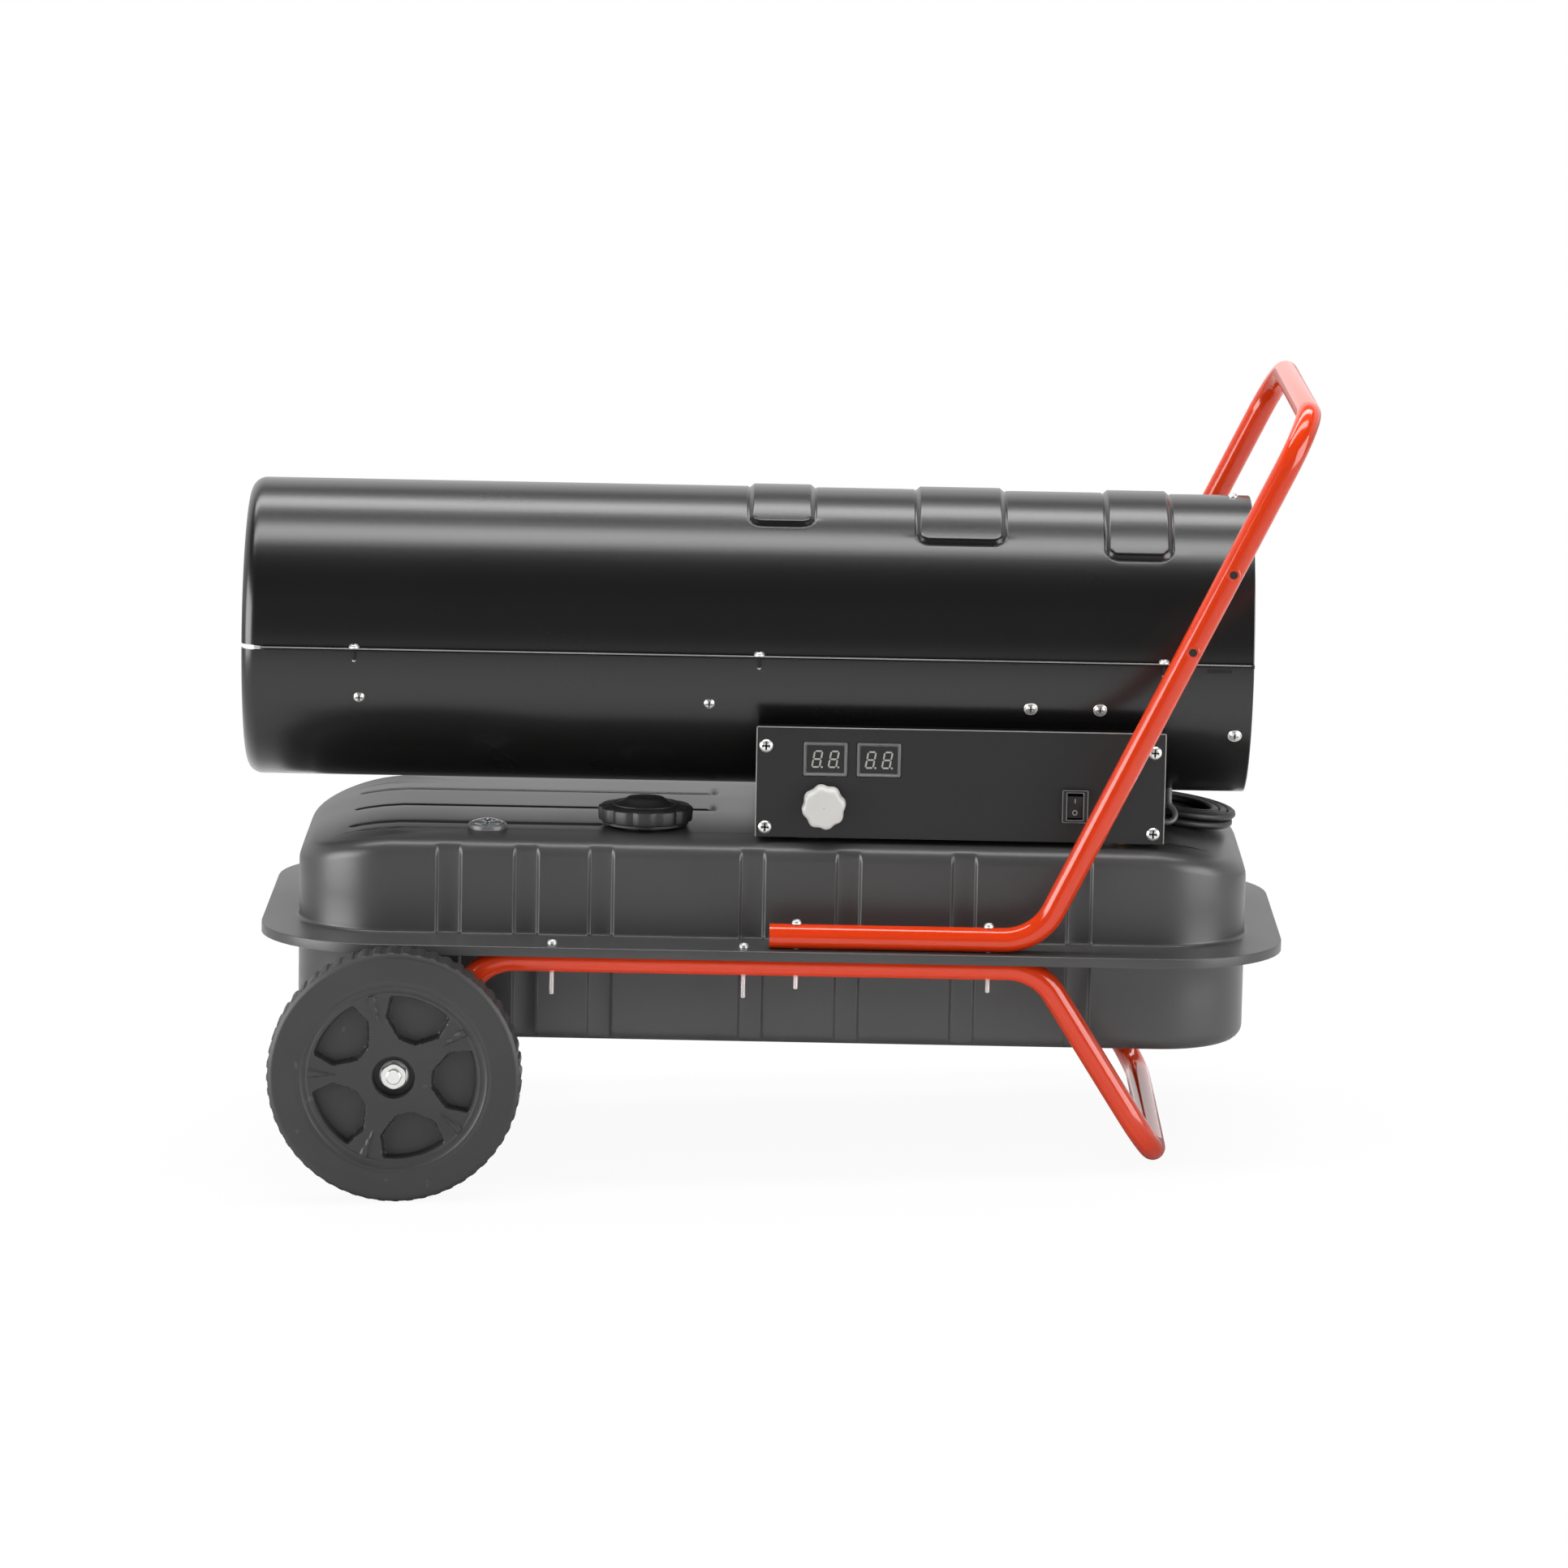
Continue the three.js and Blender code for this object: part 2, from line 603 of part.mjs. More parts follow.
// an eye round the pivot pin, the arm, and the float at its end
function floatArm() {
  const eye = bar("x", GAUGE_X - 3.5, GAUGE_X + 3.5, 4, [0, 0, 0], 12, 1.5);
  const arm = bar("y", 3, FLOAT_ARM, 1.5, [GAUGE_X, 0, 0], 8);
  const float = bar("x", GAUGE_X - FLOAT_LENGTH / 2, GAUGE_X + FLOAT_LENGTH / 2, FLOAT_RADIUS, [0, 0, 0], 16);
  const whole = join(eye, arm, float.translate([0, FLOAT_ARM, 0]));
  return whole.rotate([-FLOAT_SLOPE, 0, 0]).translate([0, GAUGE_Y, floatPivotZ]);
}

function drainPlug() {
  const head = TANK_BOTTOM - SEAT_GAP;
  const profile = [[0, head - 6], [DRAIN_RADIUS + 5, head - 6], [DRAIN_RADIUS + 5, head]];
  profile.push([DRAIN_RADIUS, head], [DRAIN_RADIUS, head + 9], [0, head + 9]);
  return lathe("z", profile, [DRAIN_X, 0, 0], 12);
}

// ---------------------------------------------------------------- barrel
const onAxis = [0, 0, barrelZ];

// the whole shell before it is parted: a sheet tube whose front end rolls inwards
function wholeShell() {
  const front = BARREL_FRONT + SHELL_LIP;
  const roll = (radius, steps, start, end) =>
    Array.from({ length: steps + 1 }, (_, i) => {
      const angle = (start + ((end - start) * i) / steps) * (Math.PI / 180);
      return [BARREL_RADIUS - SHELL_LIP + radius * Math.sin(angle), front - radius * Math.cos(angle)];
    });
  const outer = roll(SHELL_LIP, 3, 90, 0);
  const inner = roll(SHELL_LIP - SHELL_SHEET, 3, 0, 90);
  const profile = [[BARREL_RADIUS, barrelRear], ...outer, ...inner, [shellInner, barrelRear]];
  profile.push(profile[0]);
  return lathe("x", profile, onAxis, SHELL_SIDES);
}

function halfShell(side) {
  const reach = BARREL_RADIUS + SHELL_FLANGE;
  const low = SEAT_GAP / 2;
  const half = (from, to) => (side > 0 ? [barrelZ + from, barrelZ + to] : [barrelZ - to, barrelZ - from]);
  const keep = block([BARREL_FRONT - 1, barrelRear + 1], [-reach, reach], half(low, reach));
  const flanges = [-1, 1].map((near) => {
    const edges = [near * (shellInner + 0.4), near * reach].sort((a, b) => a - b);
    return block([BARREL_FRONT + SHELL_LIP + SHELL_NOTCH, barrelRear], edges, half(low, low + SHELL_SHEET));
  });
  return join(wholeShell().intersect(keep), ...flanges);
}

function raisedPad({ back, length, down }) {
  const x = barrelRear - back;
  const steps = 12;
  const ring = (radius, from, to) =>
    Array.from({ length: steps + 1 }, (_, i) => {
      const angle = ((from + ((to - from) * i) / steps) * Math.PI) / 180;
      return [radius * Math.cos(angle), barrelZ + radius * Math.sin(angle)];
    });
  const outline = [
    ...ring(BARREL_RADIUS + PAD_RISE, down, 180 - down),
    ...ring(BARREL_RADIUS - SHELL_SHEET / 2, 180 - down, down),
  ];
  return prism("x", outline, x, x + length);
}

const upperShell = () => join(halfShell(1), ...PADS.map(raisedPad));

function lowerShell() {
  const hoseHole = bar("z", TANK_TOP, barrelZ - 60, FUEL_HOSE_RADIUS + 1, [...hoseEntry, 0], 10);
  return cut(halfShell(-1), hoseHole);
}

// strips that carry an inner piece of some radius on the lower shell
function standOff(x, width, radius, spread) {
  return [-1, 1].map((side) => {
    const strip = block([x, x + width], [-1, 1], [-shellInner + 0.6, -radius + 1]);
    return strip.rotate([side * spread, 0, 0]).translate(onAxis);
  });
}

function combustionChamber() {
  const outer = CHAMBER_RADIUS;
  const inner = CHAMBER_RADIUS - CHAMBER_SHEET;
  const hole = BURNER_RADIUS + SEAT_GAP;
  const profile = [
    [inner, chamberFront],
    [outer, chamberFront],
    [outer, chamberRear],
    [hole, chamberRear],
    [hole, chamberRear - CHAMBER_SHEET],
    [inner, chamberRear - CHAMBER_SHEET],
    [inner, chamberFront],
  ];
  const feet = [chamberFront + 60, chamberRear - 30].flatMap((x) => standOff(x, 20, outer, 40));
  return join(lathe("x", profile, onAxis, 28), ...feet);
}

// a dished disc held in the mouth of the chamber by three arms
function outletBaffle() {
  const profile = [[0, -16], [6, -16], [BAFFLE_RADIUS, 0], [BAFFLE_RADIUS, 2], [6, -13], [0, -13]];
  const dish = lathe("x", profile, [chamberFront + 26, 0, barrelZ], 24);
  const reach = CHAMBER_RADIUS - CHAMBER_SHEET - 1.1;
  const arms = [0, 120, 240].map((angle) => {
    const arm = block([chamberFront + 24, chamberFront + 27], [-5, 5], [BAFFLE_RADIUS - 6, reach]);
    return arm.rotate([angle, 0, 0]).translate(onAxis);
  });
  return join(dish, ...arms);
}

const plateX = chamberRear - BURNER_LENGTH / 2;

// air tube with a plate across it that holds the nozzle, the igniter and the photocell
function burnerHead() {
  const wall = 1.5;
  const flange = chamberRear + SEAT_GAP;
  const profile = [
    [NOZZLE_RADIUS + SEAT_GAP, plateX],
    [BURNER_RADIUS, plateX],
    [BURNER_RADIUS, flange],
    [BURNER_RADIUS + 14, flange],
    [BURNER_RADIUS + 14, flange + wall],
    [BURNER_RADIUS, flange + wall],
    [BURNER_RADIUS, plateX + BURNER_LENGTH],
    [BURNER_RADIUS - wall, plateX + BURNER_LENGTH],
    [BURNER_RADIUS - wall, plateX + wall],
    [NOZZLE_RADIUS + SEAT_GAP, plateX + wall],
    [NOZZLE_RADIUS + SEAT_GAP, plateX],
  ];
  const through = [plateX - 5, plateX + 5];
  const igniterHoles = [-1, 1].map((side) =>
    bar("x", ...through, IGNITER_RADIUS + SEAT_GAP, [0, side * 6, barrelZ + IGNITER_OFFSET], 10));
  const eyeHole = bar("x", ...through, PHOTOCELL_RADIUS + SEAT_GAP, [0, 0, barrelZ - 27], 12);
  return cut(lathe("x", profile, onAxis, 24), ...igniterHoles, eyeHole);
}

function nozzle() {
  const front = plateX - 8;
  const shoulder = plateX + 1.5 + SEAT_GAP;
  const profile = [
    [0, front],
    [3, front],
    [NOZZLE_RADIUS, front + 5],
    [NOZZLE_RADIUS, shoulder],
    [NOZZLE_RADIUS + 4, shoulder],
    [NOZZLE_RADIUS + 4, shoulder + 10],
    [NOZZLE_RADIUS - 3, shoulder + 10],
    [NOZZLE_RADIUS - 3, front + NOZZLE_LENGTH],
    [0, front + NOZZLE_LENGTH],
  ];
  return lathe("x", profile, onAxis, 12);
}

// two ceramic rods on one holder, each with a wire that ends beside the nozzle's tip
function igniter() {
  const height = barrelZ + IGNITER_OFFSET;
  const holderX = plateX + 1.5 + SEAT_GAP;
  const pieces = [block([holderX, holderX + 8], [-12, 12], [height - 5, height + 7])];
  for (const side of [-1, 1]) {
    pieces.push(bar("x", plateX - 10, holderX + 2, IGNITER_RADIUS, [0, side * 6, height], 10));
    const wire = [[plateX - 9, side * 6, height], [plateX - 14, side * 6, height]];
    wire.push([plateX - 14, side * 2, barrelZ + NOZZLE_RADIUS - 4]);
    pieces.push(tube(bentStations(wire, 3, 3), 1, 6));
  }
  return join(...pieces);
}

function photocell() {
  const profile = [[0, -8], [PHOTOCELL_RADIUS, -8], [PHOTOCELL_RADIUS, 1.5 + SEAT_GAP]];
  profile.push([PHOTOCELL_RADIUS + 2, 1.5 + SEAT_GAP], [PHOTOCELL_RADIUS + 2, 14], [0, 14]);
  return lathe("x", profile, [plateX, 0, barrelZ - 27], 12);
}

function motorBody() {
  const bore = SHAFT_RADIUS + SEAT_GAP;
  const profile = [
    [bore, motorFront],
    [MOTOR_RADIUS - 14, motorFront],
    [MOTOR_RADIUS - 6, motorFront + 6],
    [MOTOR_RADIUS, motorFront + 12],
    [MOTOR_RADIUS, motorRear - 4],
    [MOTOR_RADIUS - 6, motorRear],
    [bore, motorRear],
    [bore, motorFront],
  ];
  return lathe("x", profile, onAxis, 24);
}

// a folded channel between the motor and the lower shell
function motorBracket() {
  const width = 38;
  const from = motorFront + 28;
  const to = motorRear - 22;
  const outer = block([from, to], [-width, width], [barrelZ - BARREL_RADIUS, barrelZ - MOTOR_RADIUS / 2]);
  const inner = block([from - 1, to + 1], [2 - width, width - 2], [barrelZ - BARREL_RADIUS - 1, barrelZ - MOTOR_RADIUS - 6]);
  const inShell = bar("x", from - 1, to + 1, shellInner - SEAT_GAP - 0.3, onAxis, SHELL_SIDES);
  const motorSeat = bar("x", from - 1, to + 1, MOTOR_RADIUS + SEAT_GAP, onAxis, 24);
  return cut(outer, inner, motorSeat).intersect(inShell);
}

function fanRotor() {
  const bore = SHAFT_RADIUS + SEAT_GAP;
  const hub = bar("x", fanX, fanX + FAN_DEPTH, FAN_HUB_RADIUS, onAxis, 20, bore);
  const middle = fanX + FAN_DEPTH / 2;
  const blades = Array.from({ length: FAN_BLADES }, (_, i) => {
    const chord = FAN_DEPTH / Math.sin((FAN_PITCH * Math.PI) / 180) / 2;
    const root = [[-chord * 0.7, -1], [chord * 0.7, -1], [chord * 0.7, 1], [-chord * 0.7, 1]];
    const blade = prism("z", root, FAN_HUB_RADIUS - 2, FAN_RADIUS);
    const pitched = blade.rotate([0, 0, 90 - FAN_PITCH]);
    return pitched.rotate([(360 * i) / FAN_BLADES, 0, 0]).translate([middle, 0, barrelZ]);
  });
  return join(hub, ...blades);
}

const motorShaft = () => bar("x", fanX - 6, filterX - 8, SHAFT_RADIUS, onAxis, 12);

function pumpBody() {
  const bore = PUMP_RADIUS - 12;
  const profile = [
    [SHAFT_RADIUS + SEAT_GAP, pumpX],
    [PUMP_RADIUS, pumpX],
    [PUMP_RADIUS, pumpX + PUMP_LENGTH],
    [bore, pumpX + PUMP_LENGTH],
    [bore, pumpX + 6],
    [SHAFT_RADIUS + SEAT_GAP, pumpX + 6],
    [SHAFT_RADIUS + SEAT_GAP, pumpX],
  ];
  return lathe("x", profile, onAxis, 20);
}

function pumpRotor() {
  const from = pumpX + 6 + SEAT_GAP;
  return bar("x", from, filterX - 2 * SEAT_GAP, PUMP_RADIUS - 12 - PUMP_PLAY, onAxis, 20, SHAFT_RADIUS + SEAT_GAP);
}

function filterCover() {
  const profile = [[0, 0], [PUMP_RADIUS, 0], [PUMP_RADIUS, 4], [PUMP_RADIUS - 5, FILTER_LENGTH - 4]];
  profile.push([PUMP_RADIUS - 10, FILTER_LENGTH], [0, FILTER_LENGTH]);
  return lathe("x", profile, [filterX, 0, barrelZ], 20);
}

// rings of wire on four crossing bars, inside the rear end of the barrel
function intakeGuard() {
  const outer = shellInner - SEAT_GAP - GUARD_WIRE / 2 - 0.3;
  const wire = GUARD_WIRE / 2;
  const pieces = [];
  for (let ring = 0; ring < GUARD_RINGS; ring += 1) {
    const radius = outer * (1 - ring / GUARD_RINGS);
    const loop = [[radius - wire, 0], [radius, -wire], [radius + wire, 0], [radius, wire], [radius - wire, 0]];
    pieces.push(lathe("x", loop, [guardX, 0, barrelZ], 24));
  }
  for (const angle of [22.5, 67.5, 112.5, 157.5]) {
    const rib = bar("z", -outer, outer, wire, [0, 0, 0], 6).rotate([angle, 0, 0]);
    pieces.push(rib.translate([guardX + wire, 0, barrelZ]));
  }
  return join(...pieces);
}

// ---------------------------------------------------------------- hoses
const nozzleEnd = plateX - 8 + NOZZLE_LENGTH;

// from the pump, past the fan's rim, to the back of the nozzle
function airHose() {
  const lane = (shellInner - AIR_HOSE_RADIUS - 5) * Math.SQRT1_2;
  const portX = pumpX + PUMP_LENGTH / 2;
  const port = (PUMP_RADIUS + SEAT_GAP + 0.2) * Math.SQRT1_2;
  const back = nozzleEnd + SEAT_GAP;
  const turnX = back + HOSE_BEND + 8;
  const corners = [
    [portX, port, barrelZ - port],
    [portX, lane, barrelZ - lane],
    [turnX, lane, barrelZ - lane],
    [turnX, 0, barrelZ],
    [back, 0, barrelZ],
  ];
  return tube(bentStations(corners, HOSE_BEND, 4), AIR_HOSE_RADIUS, 8);
}

const pickupPortZ = TANK_TOP + 9;

// suction pipe down into the tank, with a sideways spigot for the hose
function fuelPickup() {
  const seat = TANK_TOP + SEAT_GAP;
  const profile = [
    [0, TANK_BOTTOM + 14],
    [2.5, TANK_BOTTOM + 14],
    [2.5, TANK_TOP - 6],
    [4.5, TANK_TOP - 6],
    [4.5, seat],
    [8, seat],
    [8, seat + 4],
    [5, seat + 4],
    [5, pickupPortZ + 4],
    [0, pickupPortZ + 4],
  ];
  const spigot = bar("x", 0, 13, 3, [PICKUP_X, PICKUP_Y, pickupPortZ], 8);
  return join(lathe("z", profile, [PICKUP_X, PICKUP_Y, 0], 12), spigot);
}

// from the pickup's spigot, in a loop over the tank's top, up into the barrel and along to the nozzle
function fuelHose() {
  const lane = barrelZ - Math.sqrt((shellInner - FUEL_HOSE_RADIUS - 4) ** 2 - FUEL_LANE_Y ** 2);
  const nozzleX = nozzleEnd - 6;
  const reach = NOZZLE_RADIUS - 3 + SEAT_GAP;
  const [entryX, entryY] = hoseEntry;
  const corners = [
    [PICKUP_X + 13 + 2 * SEAT_GAP, PICKUP_Y, pickupPortZ],
    [HOSE_LOOP_X, PICKUP_Y, TANK_TOP + 1.5],
    [entryX, entryY, 100],
    [entryX, entryY, barrelZ - shellInner + 14],
    [motorRear - 20, FUEL_LANE_Y, lane],
    [nozzleX, FUEL_LANE_Y, lane],
    [nozzleX, FUEL_LANE_Y, barrelZ],
    [nozzleX, -reach, barrelZ],
  ];
  return tube(bentStations(corners, 8, 4), FUEL_HOSE_RADIUS, 8);
}

// ---------------------------------------------------------------- control box
const boxTop = panelBottom + PANEL_HEIGHT - PANEL_SHEET;
const panelRear = PANEL_X + PANEL_LENGTH;
const panelPoint = (x, z) => [PANEL_X + x, 0, panelBottom + z];

// Folded case whose side cheeks are cut to the barrel's curve and carry it, with a shallow end behind
// the rear part of the panel.
function controlBox() {
  const side = -boxFront;
  const cell = (grow, open) =>
    join(
      block([boxX - grow, boxRear + grow], [boxFront - grow - open, side + grow], [boxBottom - grow, boxTop + grow]),
      block(
        [boxRear - 20, panelRear - PANEL_SHEET + grow],
        [boxFront - grow - open, boxFront + BOX_END_DEPTH + grow],
        [boxBottom - grow, boxTop + grow],
      ),
    );
  const barrel = bar("x", boxX - 10, panelRear + 10, BARREL_RADIUS + SEAT_GAP + 0.3, onAxis, SHELL_SIDES);
  const footX = [boxX + 34, boxRear + 18];
  const feet = footX.map((x) =>
    block([x, x + 18], [boxFront, boxFront + 24], [TANK_TOP + SEAT_GAP, boxBottom + 0.5]));
  const backFeet = [boxX + 34, boxRear - 36].map((x) =>
    block([x, x + 18], [side - 24, side], [TANK_TOP + SEAT_GAP, boxBottom + 0.5]));
  const spindleRoom = bar("x", boxRear - 5, boxRear + 5, CORD_DIAMETER / 2 + 2, [0, CORD_Y, glandZ], 10);
  const whole = join(cell(0, 0), ...feet, ...backFeet);
  return cut(whole, cell(-BOX_SHEET, 2 * BOX_SHEET), barrel, spindleRoom);
}

const screwInset = { left: 8, right: 9, top: 16, bottom: 8 };
const panelScrews = [
  [screwInset.left, screwInset.bottom],
  [screwInset.left, PANEL_HEIGHT - screwInset.top],
  [PANEL_LENGTH - screwInset.right, screwInset.bottom],
  [PANEL_LENGTH - screwInset.right, PANEL_HEIGHT - screwInset.top],
];

function controlPanel() {
  const plate = block(
    [PANEL_X, panelRear],
    [panelFront, panelBack],
    [panelBottom, panelBottom + PANEL_HEIGHT],
  );
  const window = (x, z, width, height) => {
    const [px, , pz] = panelPoint(x, z);
    const w = width / 2 + SEAT_GAP;
    const h = height / 2 + SEAT_GAP;
    return block([px - w, px + w], [panelFront - 1, panelBack + 1], [pz - h, pz + h]);
  };
  const hole = (x, z, radius) => {
    const [px, , pz] = panelPoint(x, z);
    return bar("y", panelFront - 1, panelBack + 1, radius, [px, 0, pz], 12);
  };
  return cut(
    plate,
    ...DISPLAY_X.map((x) => window(x, DISPLAY_Z, DISPLAY_WIDTH, DISPLAY_HEIGHT)),
    window(SWITCH_X, SWITCH_Z, SWITCH_WIDTH - 3, SWITCH_HEIGHT - 3),
    hole(KNOB_X, KNOB_Z, SPINDLE_RADIUS + 0.8),
    ...panelScrews.map(([x, z]) => hole(x, z, SCREW_RADIUS)),
  );
}

function display(x) {
  const [px, , pz] = panelPoint(x, DISPLAY_Z);
  const w = DISPLAY_WIDTH / 2;
  const h = DISPLAY_HEIGHT / 2;
  return block([px - w, px + w], [panelFront - DISPLAY_PROUD, panelBack + DISPLAY_DEPTH], [pz - h, pz + h]);
}

const boardFront = panelBack + DISPLAY_DEPTH + SEAT_GAP;

// the board stands in the case behind the displays and the thermostat
function controlBoard() {
  const [x0] = panelPoint(30, 0);
  return block([x0, x0 + 120], [boardFront, boardFront + 1.6], [boxBottom + BOX_SHEET + SEAT_GAP, boxTop - 14]);
}

function thermostatBody() {
  const [px, , pz] = panelPoint(KNOB_X, KNOB_Z);
  const body = bar("y", panelBack + SEAT_GAP, boardFront - SEAT_GAP, 9, [px, 0, pz], 16);
  const spindle = bar("y", panelFront - 10, panelBack + 2, SPINDLE_RADIUS, [px, 0, pz], 12);
  return join(body, spindle);
}

function thermostatKnob() {
  const [px, , pz] = panelPoint(KNOB_X, KNOB_Z);
  const back = panelFront - SEAT_GAP;
  const front = back - KNOB_HEIGHT;
  const skirt = prism("y", lobedOutline(KNOB_RADIUS, KNOB_LOBES, 2.4, [px, pz]), front + 2, back);
  const face = bar("y", front, front + 4, KNOB_RADIUS - 4, [px, 0, pz], 24);
  const spindleHole = bar("y", panelFront - 10 - SEAT_GAP, back + 1, SPINDLE_RADIUS + SEAT_GAP, [px, 0, pz], 12);
  return cut(join(skirt, face), spindleHole);
}

const rockerPivotY = panelFront + 3;
const [rockerX, , rockerZ] = panelPoint(SWITCH_X, SWITCH_Z);

function switchBody() {
  const w = SWITCH_WIDTH / 2;
  const h = SWITCH_HEIGHT / 2;
  const bezel = block([rockerX - w, rockerX + w], [panelFront - SEAT_GAP - 2.5, panelFront - SEAT_GAP], [rockerZ - h, rockerZ + h]);
  const body = block([rockerX - w + 1.5, rockerX + w - 1.5], [panelFront - 1, panelBack + 20], [rockerZ - h + 1.5, rockerZ + h - 1.5]);
  const wellW = ROCKER_WIDTH / 2 + SEAT_GAP;
  const wellH = ROCKER_REACH + 1.8;
  const well = block([rockerX - wellW, rockerX + wellW], [panelFront - 5, rockerPivotY + 11], [rockerZ - wellH, rockerZ + wellH]);
  return cut(join(bezel, body), well);
}

// the rocker's two faces meet in a shallow valley over its pivot
function switchRocker() {
  const back = Array.from({ length: 7 }, (_, i) => {
    const angle = (Math.PI * i) / 6;
    return [ROCKER_REACH * Math.cos(angle), ROCKER_REACH * Math.sin(angle)];
  });
  const outline = [[-ROCKER_REACH, -4.6], [0, -2.6], [ROCKER_REACH, -4.6], ...back];
  const flat = prism("x", outline.map(([z, y]) => [y, z]), -ROCKER_WIDTH / 2, ROCKER_WIDTH / 2);
  return flat.rotate([ROCKER_TILT, 0, 0]).translate([rockerX, rockerPivotY, rockerZ]);
}

function ignitionTransformer() {
  const [x0] = panelPoint(175, 0);
  const low = boxBottom + BOX_SHEET + SEAT_GAP;
  return block([x0, x0 + 62], [boxFront + 24, boxFront + 66], [low, low + 28]);
}

// ---------------------------------------------------------------- frame, handle, wheels
function boredTube(corners) {
  const inner = TUBE_RADIUS - TUBE_WALL;
  return tube(bentStations(corners, TUBE_BEND, 4), TUBE_RADIUS, TUBE_SIDES, inner, 6);
}

const radians = (degrees) => (degrees * Math.PI) / 180;
const handleTopX = HANDLE_BEND_X + (HANDLE_TOP - handleZ) / Math.tan(radians(HANDLE_LEAN));

function handleFrame() {
  const half = [
    [HANDLE_START_X, handleZ],
    [HANDLE_BEND_X, handleZ],
    [handleTopX, HANDLE_TOP],
  ];
  const near = half.map(([x, z]) => [x, -RAIL_Y, z]);
  const far = half.toReversed().map(([x, z]) => [x, RAIL_Y, z]);
  return cut(boredTube([...near, ...far]), ...screwHoles().slice(0, 4));
}

function baseFrame() {
  const legLength = Math.hypot(WHEEL_LEG_X - WHEEL_X, railZ - WHEEL_Z);
  const past = (legLength + LEG_PAST_AXLE) / legLength;
  const half = [
    [WHEEL_LEG_X + (WHEEL_X - WHEEL_LEG_X) * past, railZ + (WHEEL_Z - railZ) * past],
    [WHEEL_LEG_X, railZ],
    [FOOT_BEND_X, railZ],
    [FOOT_X, FOOT_Z],
  ];
  const near = half.map(([x, z]) => [x, -RAIL_Y, z]);
  const far = half.toReversed().map(([x, z]) => [x, RAIL_Y, z]);
  const axleHole = bar("y", -RAIL_Y - 20, RAIL_Y + 20, AXLE_RADIUS + SEAT_GAP, [WHEEL_X, 0, WHEEL_Z], 12);
  return cut(boredTube([...near, ...far]), axleHole, ...screwHoles());
}

const axleEnd = hubFloor + NUT_HEIGHT + 4;
const axle = () => bar("y", -axleEnd, axleEnd, AXLE_RADIUS, [WHEEL_X, 0, WHEEL_Z], 12);

// solid-tyred wheel with a hub that reaches in to the frame's leg and five moulded pockets outside
function wheel(side) {
  const w = WHEEL_WIDTH / 2;
  const rim = WHEEL_RADIUS * 0.73;
  const hubEnd = RAIL_Y + TUBE_RADIUS + SEAT_GAP - wheelMid;
  const face = w - 4;
  const floor = hubFloor - wheelMid;
  const profile = [
    [AXLE_RADIUS + SEAT_GAP, hubEnd],
    [18, hubEnd],
    [20, -w / 2],
    [rim - 2, -w / 2],
    [rim, -w + 1],
    [WHEEL_RADIUS - 7, -w],
    [WHEEL_RADIUS, -w + 7],
    [WHEEL_RADIUS, w - 7],
    [WHEEL_RADIUS - 7, w],
    [rim, w],
    [rim - 4, face],
    [17, face],
    [17, floor],
    [AXLE_RADIUS + SEAT_GAP, floor],
    [AXLE_RADIUS + SEAT_GAP, hubEnd],
  ];
  const disc = lathe("y", profile, [0, 0, 0], WHEEL_SIDES);
  const pockets = Array.from({ length: WHEEL_POCKETS }, (_, i) => {
    const middle = (2 * Math.PI * i) / WHEEL_POCKETS;
    const edge = (radius, spread, steps) =>
      Array.from({ length: steps + 1 }, (_, k) => {
        const angle = middle + radians(spread) * ((2 * k) / steps - 1);
        return [radius * Math.cos(angle), radius * Math.sin(angle)];
      });
    const outline = [...edge(WHEEL_RADIUS * 0.64, 25, 4), ...edge(WHEEL_RADIUS * 0.3, 22, 2).reverse()];
    return prism("y", outline, face - 14, face + 5);
  });
  const whole = cut(disc, ...pockets);
  const turned = side > 0 ? whole : whole.rotate([180, 0, 0]);
  return turned.translate([WHEEL_X, side * wheelMid, WHEEL_Z]);
}

function hexOutline(acrossFlats, centre) {
  return circle(acrossFlats / Math.sqrt(3), 6).map(({ x, y }) => [centre[0] + x, centre[1] + y]);
}

function axleNut(side) {
  const faces = [side * (hubFloor + SEAT_GAP), side * (hubFloor + SEAT_GAP + NUT_HEIGHT)];
  const [from, to] = faces.sort((a, b) => a - b);
  const hex = prism("y", hexOutline(NUT_ACROSS_FLATS, [WHEEL_X, WHEEL_Z]), from, to);
  const bore = bar("y", from - 1, to + 1, AXLE_RADIUS + SEAT_GAP, [WHEEL_X, 0, WHEEL_Z], 12);
  return cut(hex, bore);
}

function railScrew([x, y], seat, tail) {
  const top = seat + SEAT_GAP;
  const end = railZ - TUBE_RADIUS - tail;
  const profile = [
    [0, end],
    [SCREW_RADIUS, end],
    [SCREW_RADIUS, top],
    [SCREW_HEAD_RADIUS, top],
    [SCREW_HEAD_RADIUS - 0.6, top + SCREW_HEAD_HEIGHT],
    [0, top + SCREW_HEAD_HEIGHT],
  ];
  return lathe("z", profile, [x, y, 0], 10);
}

